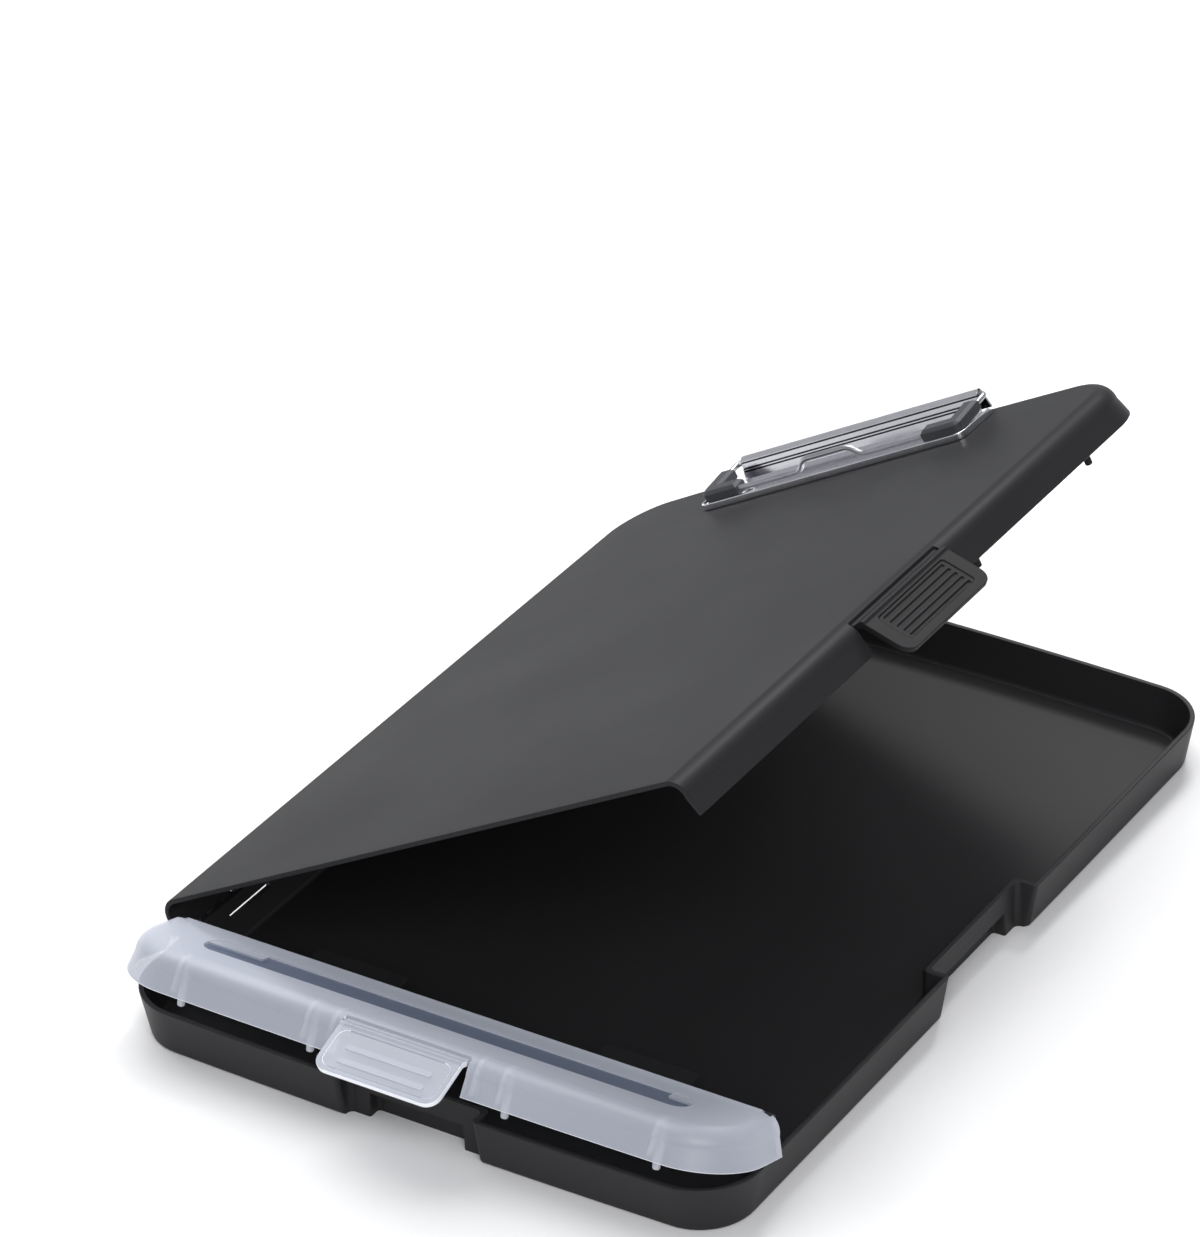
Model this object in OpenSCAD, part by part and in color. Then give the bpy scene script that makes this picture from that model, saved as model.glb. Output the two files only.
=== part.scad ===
// Storage clipboard box: a shallow tray, a clipboard lid hinged along its left side,
// and a frosted cover hinged over the pen compartment at its near end.
// The origin is the centre of the tray's underside. The lid's hinge is on the -X side,
// the pen cover at the -Y end and the clip at the +Y end. Sizes are in millimetres.

/* [Case] */
// Width over the lid and the pen cover
case_w = 241; // [225:1:260]
// Length over the lid and the pen cover
case_len = 351; // [330:1:375]
// Height of the closed box
closed_h = 30.2; // [28:0.1:36]
// Corner radius of the lid and the pen cover, seen from above
corner_r = 24; // [18:1:32]
// How far the clip end bows outward at its middle
far_bow = 3.5; // [0:0.1:6]
// How far the pen end bows outward at its middle
near_bow = 1.9; // [0:0.1:5]

/* [Tray] */
// Height of the tray's rim
tray_h = 18; // [16:0.1:20]
// Thickness of the tray's walls
wall_t = 1.9; // [1.5:0.1:2.6]
// Thickness of the tray's floor
floor_t = 2; // [1.4:0.1:3]
// How far the walls lean in from the rim to the foot
draft = 3; // [1:0.1:4]
// Height of the bevel round the underside
foot_bevel_h = 0.8; // [0.4:0.1:1.2]
// Width of the bevel round the underside
foot_bevel_w = 1.2; // [0.5:0.1:2]

/* [Lid and pen cover shells] */
// Thickness of the roof
roof_t = 2; // [1.6:0.1:2.4]
// Thickness of the skirt
skirt_t = 1.8; // [1.4:0.1:2.2]
// How far the skirts reach down past the tray's rim
skirt_lap = 1; // [0.5:0.1:2]
// Gap between a skirt and the tray's wall
skirt_gap = 0.4; // [0.3:0.05:0.8]
// How far the skirt leans in from its lower edge to the rolled edge
skirt_lean = 2; // [1:0.1:3]
// Width of the rolled edge
roll_w = 6.4; // [4:0.1:8]
// Height of the rolled edge
roll_h = 6.8; // [4:0.1:7.4]
// Distance from the pen end of the case to the near edge of the lid
lid_edge = 42.2; // [40:0.1:50]

/* [Lid hinges] */
// Radius of the hinge knuckles
knuckle_r = 2.8; // [2.4:0.1:3]
// Height of the lid's hinge axis above the underside
lid_axis_z = 15.2; // [14.6:0.1:15.6]
// How far the hinge axis stands outside the lid's skirt
lid_axis_out = 0.5; // [0.4:0.1:1]
// Radius of the hinge pins
lid_pin_r = 1.2; // [0.9:0.05:1.4]
// Gap between a hinge pin and the bore round it
pin_gap = 0.1; // [0.05:0.01:0.2]
// Place along the left side of the middle of the hinge nearer the clip
upper_hinge_y = 105.6; // [85:0.1:115]
// Place along the left side of the middle of the hinge nearer the pens
lower_hinge_y = -95.7; // [-100:0.1:-80]
// Gap round the tray's knuckles in the lid's skirt
knuckle_gap = 0.5; // [0.3:0.1:0.7]
// Height of the moulding window in the wall under the tray's knuckles
window_h = 2.2; // [1:0.1:3]
// How far the tray's knuckles reach into the wall
knuckle_root = 1.4; // [1:0.1:1.8]

/* [Latches] */
// Height of both latches' hinge axes above the underside
latch_axis_z = 27; // [26.5:0.1:27.2]
// Distance of both latches' hinge axes from the outside of the case
latch_axis_in = 5; // [4.6:0.1:5.6]
// Radius of the round root of a latch
latch_root_r = 1.3; // [1.1:0.05:1.5]
// Radius of the short pins at the ends of a latch's root
latch_pin_r = 0.8; // [0.6:0.05:0.9]
// Length of those short pins
latch_pin_len = 1.6; // [1:0.1:2.2]
// Thickness of the latch plates
latch_t = 2; // [1.6:0.1:2.2]
// Length of the latch plates from their axis
latch_len = 21.5; // [20.5:0.1:23]
// Gap that a latch keeps from what it passes or rests on
latch_gap = 0.4; // [0.3:0.05:0.6]
// How far a latch's catch reaches in under the edge of the recess
catch_reach = 0.9; // [0.6:0.1:1.4]
// Thickness of a latch's catch
catch_t = 1.4; // [1:0.1:2]
// Radius of a latch's outer corners
latch_corner_r = 5; // [3:0.5:8]
// Height of the ridge along a latch's root
ridge_h = 0.5; // [0.2:0.1:0.5]
// Gap at each end of a latch
latch_end_gap = 1; // [0.6:0.1:1.6]
// Place of the middle of the lid's latch along the case
lid_latch_y = 4; // [-10:0.5:15]
// Width of the lid's latch
lid_latch_w = 55.5; // [45:0.5:65]
// Height of the lid latch's outer face over its axis
lid_latch_rise = 4.3; // [4:0.1:4.6]
// Place of the middle of the pen cover's latch across the case
cover_latch_x = -1.5; // [-10:0.5:10]
// Width of the pen cover's latch
cover_latch_w = 47; // [40:0.5:55]
// Height of the pen cover latch's outer face over its axis
cover_latch_rise = 3.4; // [3.2:0.1:4]
// Depth of the panel sunk in the lid's latch
panel_depth = 0.4; // [0.2:0.1:0.5]
// Width of the plain border at each end of that panel
panel_side = 6; // [4:0.5:9]
// Depth of the thumb grooves in that panel, from the latch's face
thumb_groove_depth = 0.9; // [0.6:0.1:1]
// Width of the thumb grooves
thumb_groove_w = 0.8; // [0.5:0.1:1.2]
// Distance from one thumb groove to the next
thumb_groove_pitch = 2.6; // [2:0.1:2.8]
// Radius of the two thumb ribs on the pen cover's latch
thumb_rib_r = 0.5; // [0.3:0.05:0.7]
// Distance of the thumb ribs' ends from the latch's ends
thumb_rib_side = 7; // [5:0.5:10]

/* [Recesses for the latches] */
// Depth of the recess in the tray's right wall, from the rim
side_recess = 7.7; // [6.5:0.1:9]
// Depth of the recess in the tray's near wall, from the rim
front_recess = 6.8; // [6:0.1:8]
// How much wider than its latch a recess is, on each side
recess_side = 2.6; // [2:0.1:4]
// Slant of the recess's inner corners
recess_corner = 2.2; // [1:0.1:3]
// Height of the finger scoop under a recess
scoop_h = 9.6; // [8.8:0.1:9.8]
// How much deeper than its recess a finger scoop goes
scoop_depth = 4.8; // [4:0.1:6]
// How far each end of a finger scoop stands in from the recess's end
scoop_end = 8; // [6:0.5:14]

/* [Pen cover hinge] */
// Distance of the pen cover's hinge axis beyond the lid's near edge
cover_axis_back = 2.9; // [2.8:0.1:3.4]
// Height of the pen cover's hinge axis
cover_axis_z = 27; // [26.6:0.1:27.2]
// Radius of the bead along the pen cover's far edge
bead_r = 2.2; // [2:0.05:2.3]
// Distance of the pen cover's roof edge in front of its hinge axis
roof_edge = 1.1; // [0.8:0.1:1.5]
// Bevel of the roof edge
roof_bevel = 0.8; // [0.6:0.1:1]
// Radius of the pen cover's hinge pins
cover_pin_r = 1.2; // [0.8:0.05:1.3]
// Gap round the pen cover's hinge pins in the ears that hold them
ear_pin_gap = 0.05; // [0.02:0.01:0.08]
// Length of the pen cover's hinge pins inside the bead
cover_pin_in = 6; // [4:0.5:10]
// Thickness of the ears that carry the pen cover
ear_t = 3; // [2:0.1:3.4]
// Half the width of the ears
ear_r = 2.3; // [2.1:0.05:2.4]
// Distance of the ears' outer faces from the outside of the case
ear_in = 5.9; // [5.6:0.1:7]
// Gap in front of an ear in the pen cover
ear_gap = 0.8; // [0.6:0.1:1.2]

/* [Pegs] */
// Height of the pegs' tips above the underside, with the box closed
peg_tip_z = 12.9; // [11:0.1:14]
// Radius of a peg's tip
peg_tip_r = 1; // [0.7:0.05:1.2]
// Radius of a peg's root
peg_root_r = 1.5; // [1.2:0.05:1.8]
// Gap between the lid's pegs and the tray's wall
peg_gap = 0.5; // [0.3:0.1:1]
// Gap between the pen cover's pegs and the tray's wall, wide enough for the cover to swing up
cover_peg_gap = 2; // [1.8:0.1:3]
// Thickness of the ribs that join the pegs to the skirts
peg_rib_t = 1.2; // [0.8:0.1:1.6]

/* [Divider] */
// Distance of the divider from the pen cover's hinge axis
divider_back = 4.8; // [4.6:0.1:8]
// Thickness of the divider
divider_t = 1.8; // [1.4:0.1:2.4]
// Thickness of the paper tabs
tab_t = 1.6; // [1.2:0.1:2.2]
// How far the paper tabs reach over the paper compartment
tab_len = 16; // [8:0.5:24]
// Width of the paper tabs
tab_w = 35.6; // [20:0.1:45]
// Distance of the paper tabs' middles from the middle of the case
tab_x = 56.5; // [40:0.5:70]
// Distance of the paper tabs' upper faces under the tray's rim
tab_drop = 1; // [0.8:0.1:2]
// Gap between the divider and what holds it
divider_gap = 0.2; // [0.1:0.05:0.4]
// Height of the guides that hold the divider's ends
guide_h = 10.6; // [6:0.1:12]
// Length of those guides along the divider
guide_lap = 4; // [2:0.5:6]
// Distance of the divider's ends from the foot of the walls
divider_end = 2.4; // [1:0.1:4]

/* [Groove in the pen cover] */
// Length of the groove
groove_len = 187; // [150:1:195]
// Width of the groove
groove_w = 11; // [6:0.5:14]
// Depth of the groove
groove_depth = 0.9; // [0.4:0.1:1.2]
// Distance of the groove's middle from the pen end of the case
groove_y = 23.5; // [21:0.1:26]

/* [Clip] */
// Width of the clip's base plate
clip_w = 124; // [110:1:140]
// Thickness of the clip's sheet steel
clip_t = 0.8; // [0.6:0.1:1]
// Distance from the clip end of the case to the near edge of the base plate
clip_edge = 35.5; // [34:0.5:45]
// Length of the base plate to the foot of the spring housing
clip_len = 23.4; // [22.5:0.1:26]
// Height of the base plate's rim
clip_rim_h = 2.6; // [1.5:0.1:3.5]
// Corner radius of the base plate
clip_corner_r = 4; // [2:0.5:6]
// Width of the spring housing
housing_w = 111.5; // [100:0.5:112]
// Height of the spring housing above the lid
housing_h = 8.5; // [8:0.1:10]
// Length of the spring housing along the lid
housing_len = 8.2; // [7.5:0.1:9]
// Width of the notch in the spring housing's far edge
housing_notch_w = 14; // [6:0.5:20]
// Depth of the notch in the spring housing's far edge
housing_notch = 1.5; // [0.5:0.1:2]

/* [Wire bail] */
// Radius of the wire
wire_r = 1.1; // [0.9:0.05:1.3]
// Gap between the wire and the spring housing's fold
wire_gap = 0.2; // [0.1:0.05:0.3]
// Distance of the bail's arms from the outside of the base plate
arm_in = 3.5; // [3.2:0.1:4.5]
// Bend radius where the wire comes out of the spring housing
arm_bend_r = 3; // [2.4:0.1:3.6]
// Bend radius of the bail's corners inside the grips
bail_corner_r = 4; // [3:0.1:5]
// Length of the wire's sprung ends inside the spring housing
spring_leg = 36; // [20:1:48]
// Height of the arch in the middle of the bar
arch_h = 4; // [2:0.1:6]
// Width of the arch
arch_w = 33; // [20:0.5:40]
// Bend radius of the arch
arch_bend_r = 5; // [3.5:0.1:5]

/* [Grips] */
// Height of the rubber grips
grip_h = 5.2; // [4:0.1:6]
// How far a grip stands out from the wire's middle on the outer side
grip_out = 2.1; // [1.6:0.1:2.2]
// How far a grip stands out from the wire's middle on the inner side
grip_in = 4.1; // [3:0.1:4.6]
// Length of a grip along the bail's arm, from the bar
grip_arm = 14.8; // [10:0.1:15.5]
// Length of a grip along the bar, from the arm
grip_bar = 14.9; // [10:0.1:18]
// Gap between a grip and the wire inside it
grip_fit = 0.05; // [0.02:0.01:0.1]
// Gap between the grips and the base plate
grip_gap = 0.3; // [0.2:0.05:0.6]

/* [Rivets] */
// Distance of the rivets from the ends of the base plate
rivet_in = 17; // [12:0.5:25]
// Distance of the rivets from the near edge of the base plate
rivet_y = 12.8; // [11.5:0.1:14]
// Radius of a rivet's shank
rivet_r = 2.3; // [2:0.05:2.8]
// Radius of the hole through a rivet
rivet_hole_r = 1.7; // [1:0.05:1.8]
// Radius of a rivet's flange
rivet_flange_r = 3.6; // [3.2:0.05:4]
// Thickness of a rivet's flange
rivet_flange_t = 0.7; // [0.4:0.05:1]
// Gap round a rivet in the holes it passes
rivet_gap = 0.1; // [0.05:0.01:0.2]
// Radius of the washers under the lid
washer_r = 5; // [4.4:0.1:6]
// Thickness of the washers
washer_t = 0.8; // [0.5:0.1:1.2]
// Radius of the pressed ring round each rivet
dimple_r = 5.2; // [4.8:0.1:5.6]
// Depth of the pressed ring
dimple_depth = 0.3; // [0.1:0.05:0.4]

/* [Pose] */
// How far the lid is open
lid_angle = 28.8; // [0:0.1:172]
// How far the pen cover is open
cover_angle = 17.5; // [0:0.1:70]
// How far the lid's latch is swung out
lid_latch_angle = 61.3; // [0:0.1:100.7]
// How far the pen cover's latch is swung out
cover_latch_angle = 66.9; // [0:0.1:101.9]

/* [Hidden] */

// Fineness of corners, bows, rolled edges and round parts
corner_steps = 8;
bow_steps = 12;
roll_steps = 6;
round_fn = 48;
// Thickness of a layer that a shell is stretched over
layer_t = 0.01;
// How far a cutting shape reaches past what it cuts
past = 1;
// How far one solid reaches into another that it is one piece with
root = 0.8;
// How far a post or a web stands in from the round part that it carries
web_in = 0.1;
// Heights of the upper and lower faces of a knuckle's web, as shares of the knuckle's radius
web_top = 0.7;
web_low = 0.6;
// Height of the tie between a lid knuckle and the skirt, above the skirt's lower edge
tie_h = 2;
// How far the openings for the latches reach in past the latch axes
opening_in = 0.3;
// Wall left round a latch's root in its lugs
lug_wall = 0.3;
// How far the slots for the ears reach down from the pen cover's hinge axis
ear_slot_h = 6;
// Distances from a latch's axis, along its plate: start, top and end of the ridge, and inner heel
ridge_places = [1.7, 2.6, 3.6];
heel_place = 3.4;
// Half the thickness of a latch's neck, as a share of its root's radius
neck_share = 0.9;
// Ends of the sunk panel along the lid's latch, and the first thumb groove
panel_near = 4.8;
panel_far = 3.4;
thumb_grooves_near = 6.2;
thumb_groove_count = 5;
thumb_rib_places = [10.5, 16];

half_w = case_w / 2;
half_len = case_len / 2;
tray_in = skirt_t + skirt_gap;
skirt_z = tray_h - skirt_lap;
tray_half_w = half_w - tray_in;
tray_half_len = half_len - tray_in;
roll_in = skirt_lean + roll_w;
roll_z = closed_h - roll_h;
roof_z = closed_h - roof_t;
lid_edge_y = lid_edge - half_len;

lid_axis_x = -half_w - lid_axis_out;
lid_pin_bore_r = lid_pin_r + pin_gap;
// Spans of the hinge knuckles along a hinge, from its middle towards the nearer end of the case
lid_knuckles = [[-24.3, -19.7], [-15.5, -12.4], [13, 16.2], [20.1, 23.9]];
tray_knuckles = [[-12, -3.9], [5.3, 12.3]];
hinge_half = 25.3;
window_span = [-11.3, 12.3];
window_top = lid_axis_z - knuckle_r * web_low - 2 * web_in;

lid_latch_x = half_w - latch_axis_in;
cover_latch_y = latch_axis_in - half_len;
// Depth of a closed latch's catch under the axis, just below the scoop's upper edge
catch_drop = latch_axis_z - scoop_h + latch_gap;
lid_latch_lean = latch_lean(side_recess, lid_latch_rise);
cover_latch_lean = latch_lean(front_recess, cover_latch_rise);

cover_axis_y = lid_edge_y - cover_axis_back;
cover_pin_bore_r = cover_pin_r + pin_gap;
ear_out_x = half_w - ear_in;
bead_half = ear_out_x - ear_t - latch_gap;
lid_peg_x = tray_half_w - wall_t - peg_gap - peg_root_r;
lid_peg_places = [51.5, 131];
cover_peg_places = [-91, -39, 36, 92];
bevel_side = roof_bevel * sqrt(2);

divider_y = cover_axis_y + divider_back;
divider_half = tray_half_w - wall_t - draft - divider_end;

clip_near_y = half_len - clip_edge;
housing_foot_y = clip_near_y + clip_len;
rivet_x = clip_w / 2 - rivet_in;
housing_far_y = housing_foot_y + housing_len;
fold_r = wire_r + wire_gap;
// Span of the housing's rounded top, in degrees from the far side, and its shift towards the far side
fold_span = [20, 160];
fold_shift = 0.3;
// Slope of the bail at rest that the grips are kept clear for
bail_slope = 0.12;
bail_axis_y = (housing_foot_y + housing_far_y) / 2 + fold_shift;
bail_axis_z = closed_h + housing_h - clip_t - fold_r;
arm_x = clip_w / 2 - arm_in;
bar_z = closed_h + clip_t + grip_gap + grip_h / 2 + grip_out * bail_slope;
bar_y = clip_near_y + clip_t + arm_in;
bail_tilt = atan((bail_axis_z - bar_z) / (bail_axis_y - bar_y));
bail_len = norm([bail_axis_z - bar_z, bail_axis_y - bar_y]);
notch_cut_r = (pow(housing_notch_w / 2, 2) + pow(housing_notch, 2)) / (2 * housing_notch);
arch_angle = acos(1 - arch_h / (2 * arch_bend_r));
arch_top_half = arch_w / 2 - 2 * arch_bend_r * sin(arch_angle);

// Place of a pen cover peg across the pen compartment, where the wall bows in
function cover_peg_y(x) =
    wall_t + cover_peg_gap + peg_root_r - tray_half_len + near_bow * pow(x / half_w, 2);

// Distance of a recess's wall from the axis of its latch, across the case
function recess_reach(recess) = recess + tray_in - latch_axis_in;

// How far a closed latch leans in, so that its end clears the wall of its recess by the latch gap
function latch_lean(recess, rise) =
    asin((recess_reach(recess) - latch_gap) / norm([latch_len, rise - latch_t]))
    + atan((rise - latch_t) / latch_len);

// Points on an arc round c
function arc(c, r, from, to, steps) =
    [for (k = [0:steps]) let (a = from + (to - from) * k / steps) [c.x + r * cos(a), c.y + r * sin(a)]];

// Outline of the case seen from above, set in by inset: straight sides, round corners and bowed ends
function case_outline(inset) =
    let (
        w = half_w - inset,
        l = half_len - inset,
        r = corner_r - inset,
        c = [w - r, l - r],
        between = [for (k = [1:bow_steps - 1]) c.x * (1 - 2 * k / bow_steps)],
        far = concat(
            arc([c.x, c.y], r, 0, 90, corner_steps),
            [for (x = between) [x, l]],
            arc([-c.x, c.y], r, 90, 180, corner_steps)
        ),
        near = concat(
            arc([-c.x, -c.y], r, 180, 270, corner_steps),
            [for (x = between) [-x, -l]],
            arc([c.x, -c.y], r, 270, 360, corner_steps)
        )
    )
    concat(
        [for (p = far) [p.x, p.y - far_bow * pow(p.x / half_w, 2)]],
        [for (p = near) [p.x, p.y + near_bow * pow(p.x / half_w, 2)]]
    );

// Depth of the tray wall's lean at a height
function lean_at(z) = draft * (tray_h - z) / (tray_h - foot_bevel_h);

// Round-ended slot outline
function slot_outline(len, w) =
    concat(
        arc([(len - w) / 2, 0], w / 2, -90, 90, corner_steps * 2),
        arc([(w - len) / 2, 0], w / 2, 90, 270, corner_steps * 2)
    );

// One thin layer of the case's outline
module layer(inset, z) {
    translate([0, 0, z])
        linear_extrude(layer_t)
            polygon(case_outline(inset));
}

// A rod along +Y from a point
module rod_y(x, y, z, len, r) {
    translate([x, y, z])
        rotate([-90, 0, 0])
            cylinder(h = len, r = r, $fn = round_fn);
}

// A rod along +X from a point
module rod_x(x, y, z, len, r) {
    translate([x, y, z])
        rotate([0, 90, 0])
            cylinder(h = len, r = r, $fn = round_fn);
}

// A box between two corners
module box(low, high) {
    translate(low)
        cube(high - low);
}

// The lid's pieces are drawn closed and turned here to the shown pose
module lid_pose() {
    translate([lid_axis_x, 0, lid_axis_z])
        rotate([0, -lid_angle, 0])
            translate([-lid_axis_x, 0, -lid_axis_z])
                children();
}

// The pen cover's pieces are drawn closed and turned here to the shown pose
module cover_pose() {
    translate([0, cover_axis_y, cover_axis_z])
        rotate([-cover_angle, 0, 0])
            translate([0, -cover_axis_y, -cover_axis_z])
                children();
}

// Outer form shared by the closed lid and pen cover
module shell_outside() {
    hull() {
        layer(0, skirt_z);
        for (k = [0:roll_steps]) {
            a = 90 * k / roll_steps;
            layer(skirt_lean + roll_w * (1 - cos(a)), roll_z + roll_h * sin(a) - layer_t);
        }
    }
}

// Hollow shared by the closed lid and pen cover
module shell_hollow() {
    hull() {
        layer(skirt_t, skirt_z - past);
        layer(skirt_t, skirt_z);
        for (k = [0:roll_steps]) {
            a = 90 * k / roll_steps;
            layer(
                skirt_lean + skirt_t + (roll_w - skirt_t) * (1 - cos(a)),
                roll_z + (roll_h - roof_t) * sin(a) - layer_t
            );
        }
    }
}

// Everything on the lid's side of a plane across the case
module beyond(y) {
    box([-case_w, y, -past], [case_w, case_len, closed_h + past]);
}

// Outer form of the tray
module tray_outside() {
    hull() {
        layer(tray_in + draft + foot_bevel_w, 0);
        layer(tray_in + draft, foot_bevel_h);
        layer(tray_in, tray_h - layer_t);
    }
}

// Hollow of the tray
module tray_hollow() {
    hull() {
        layer(tray_in + wall_t + lean_at(floor_t), floor_t);
        layer(tray_in + wall_t + lean_at(tray_h + past), tray_h + past);
    }
}

// Recess and finger scoop for a latch, drawn with the wall at x = 0 and the outside at +x.
// With a skin it is the bulge that the recess makes inside the tray.
module latch_recess(latch_w, depth, skin) {
    half = latch_w / 2 + recess_side + skin;
    back = -depth - skin;
    scoop_half = half - scoop_end;
    translate([0, 0, -past])
        linear_extrude(tray_h + 3 * past)
            polygon([
                [tray_in, -half],
                [tray_in, half],
                [back + recess_corner, half],
                [back, half - recess_corner],
                [back, recess_corner - half],
                [back + recess_corner, -half]
            ]);
    box([back - scoop_depth, -scoop_half, -past], [tray_in, scoop_half, scoop_h + skin]);
}

module side_latch_recess(skin) {
    translate([tray_half_w, lid_latch_y, 0])
        latch_recess(lid_latch_w, side_recess, skin);
}

module front_latch_recess(skin) {
    translate([cover_latch_x, -tray_half_len, 0])
        rotate(-90)
            latch_recess(cover_latch_w, front_recess, skin);
}

// Spans of knuckles at both hinges; the lower hinge mirrors the upper one
function at_hinges(spans) =
    concat(
        [for (s = spans) [upper_hinge_y + s[0], upper_hinge_y + s[1]]],
        [for (s = spans) [lower_hinge_y - s[1], lower_hinge_y - s[0]]]
    );

// Ear that carries one end of the pen cover's hinge
module cover_ear() {
    rod_x(ear_out_x - ear_t, cover_axis_y, cover_axis_z, ear_t, ear_r);
    box(
        [ear_out_x - ear_t, cover_axis_y - ear_r + web_in, floor_t / 2],
        [ear_out_x, cover_axis_y + ear_r - web_in, cover_axis_z]
    );
}

// Upright ribs that hold one end of the divider
module divider_guides() {
    for (y = [divider_y - divider_gap - peg_rib_t, divider_y + divider_t + divider_gap]) {
        box(
            [divider_half - guide_lap, y, floor_t / 2],
            [tray_half_w - wall_t / 2, y + peg_rib_t, floor_t + guide_h]
        );
    }
}

module base_tray() {
    color([0.16, 0.16, 0.17])
        difference() {
            union() {
                difference() {
                    tray_outside();
                    difference() {
                        tray_hollow();
                        side_latch_recess(wall_t);
                        front_latch_recess(wall_t);
                    }
                    side_latch_recess(0);
                    front_latch_recess(0);
                }
                for (s = at_hinges(tray_knuckles)) {
                    rod_y(lid_axis_x, s[0], lid_axis_z, s[1] - s[0], knuckle_r);
                    box(
                        [lid_axis_x, s[0], lid_axis_z - knuckle_r * web_low],
                        [-tray_half_w + knuckle_root, s[1], lid_axis_z + knuckle_r * web_top]
                    );
                }
                for (side = [0, 1]) {
                    mirror([side, 0, 0])
                        cover_ear();
                }
                intersection() {
                    tray_outside();
                    for (side = [0, 1]) {
                        mirror([side, 0, 0])
                            divider_guides();
                    }
                }
            }
            for (y = [upper_hinge_y, lower_hinge_y]) {
                rod_y(
                    lid_axis_x, y - hinge_half - past, lid_axis_z,
                    2 * (hinge_half + past), lid_pin_bore_r
                );
            }
            for (s = at_hinges([window_span])) {
                box(
                    [-tray_half_w - past, s[0], window_top - window_h],
                    [-tray_half_w + wall_t + draft, s[1], window_top]
                );
            }
            for (side = [0, 1]) {
                mirror([side, 0, 0])
                    rod_x(
                        bead_half, cover_axis_y, cover_axis_z,
                        ear_t + 2 * past, cover_pin_r + ear_pin_gap
                    );
            }
        }
}

module compartment_divider() {
    top = tray_h - tab_drop;
    color([0.05, 0.05, 0.055])
        union() {
            box(
                [-divider_half, divider_y, floor_t],
                [divider_half, divider_y + divider_t, top]
            );
            for (side = [-1, 1]) {
                box(
                    [side * tab_x - tab_w / 2, divider_y, top - tab_t],
                    [side * tab_x + tab_w / 2, divider_y + divider_t + tab_len, top]
                );
            }
        }
}

// A tapered peg that hangs from the roof
module peg(x, y) {
    translate([x, y, peg_tip_z])
        cylinder(h = roof_z - peg_tip_z + root, r1 = peg_tip_r, r2 = peg_root_r, $fn = round_fn);
}

module lid() {
    notch_half = lid_latch_w / 2 + latch_end_gap;
    color([0.2, 0.2, 0.21])
        lid_pose()
            difference() {
                union() {
                    difference() {
                        intersection() {
                            shell_outside();
                            beyond(lid_edge_y);
                        }
                        shell_hollow();
                        box(
                            [lid_latch_x - opening_in, lid_latch_y - notch_half, 0],
                            [case_w, lid_latch_y + notch_half, closed_h + past]
                        );
                        for (s = at_hinges(tray_knuckles)) {
                            rod_y(
                                lid_axis_x, s[0] - knuckle_gap, lid_axis_z,
                                s[1] - s[0] + 2 * knuckle_gap, knuckle_r + knuckle_gap
                            );
                        }
                    }
                    for (s = at_hinges(lid_knuckles)) {
                        rod_y(lid_axis_x, s[0], lid_axis_z, s[1] - s[0], knuckle_r);
                        box([lid_axis_x, s[0], lid_axis_z], [skirt_t - half_w, s[1], skirt_z + tie_h]);
                    }
                    for (y = lid_peg_places) {
                        peg(lid_peg_x, y);
                    }
                    intersection() {
                        shell_outside();
                        for (y = lid_peg_places) {
                            box(
                                [lid_peg_x, y - peg_rib_t / 2, tray_h + latch_gap],
                                [half_w, y + peg_rib_t / 2, roll_z]
                            );
                        }
                    }
                    for (y = [lid_latch_y + notch_half, lid_latch_y - notch_half - latch_pin_len - root]) {
                        rod_y(lid_latch_x, y, latch_axis_z, latch_pin_len + root, latch_root_r + lug_wall);
                    }
                }
                rod_y(
                    lid_latch_x, lid_latch_y - notch_half, latch_axis_z,
                    2 * notch_half, latch_root_r + latch_gap
                );
                rod_y(
                    lid_latch_x, lid_latch_y - notch_half - latch_pin_len, latch_axis_z,
                    2 * (notch_half + latch_pin_len), latch_pin_r + pin_gap
                );
                for (y = [upper_hinge_y, lower_hinge_y]) {
                    rod_y(
                        lid_axis_x, y - hinge_half - past, lid_axis_z,
                        2 * (hinge_half + past), lid_pin_bore_r
                    );
                }
                for (side = [-1, 1]) {
                    translate([side * rivet_x, clip_near_y + rivet_y, roof_z - past])
                        cylinder(h = roof_t + 2 * past, r = rivet_r + rivet_gap, $fn = round_fn);
                }
            }
}

module lid_hinge_pin(y) {
    color([0.55, 0.56, 0.58])
        rod_y(lid_axis_x, y - hinge_half, lid_axis_z, 2 * hinge_half, lid_pin_r);
}

module lid_hinge_pin_upper() {
    lid_hinge_pin(upper_hinge_y);
}

module lid_hinge_pin_lower() {
    lid_hinge_pin(lower_hinge_y);
}

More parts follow.
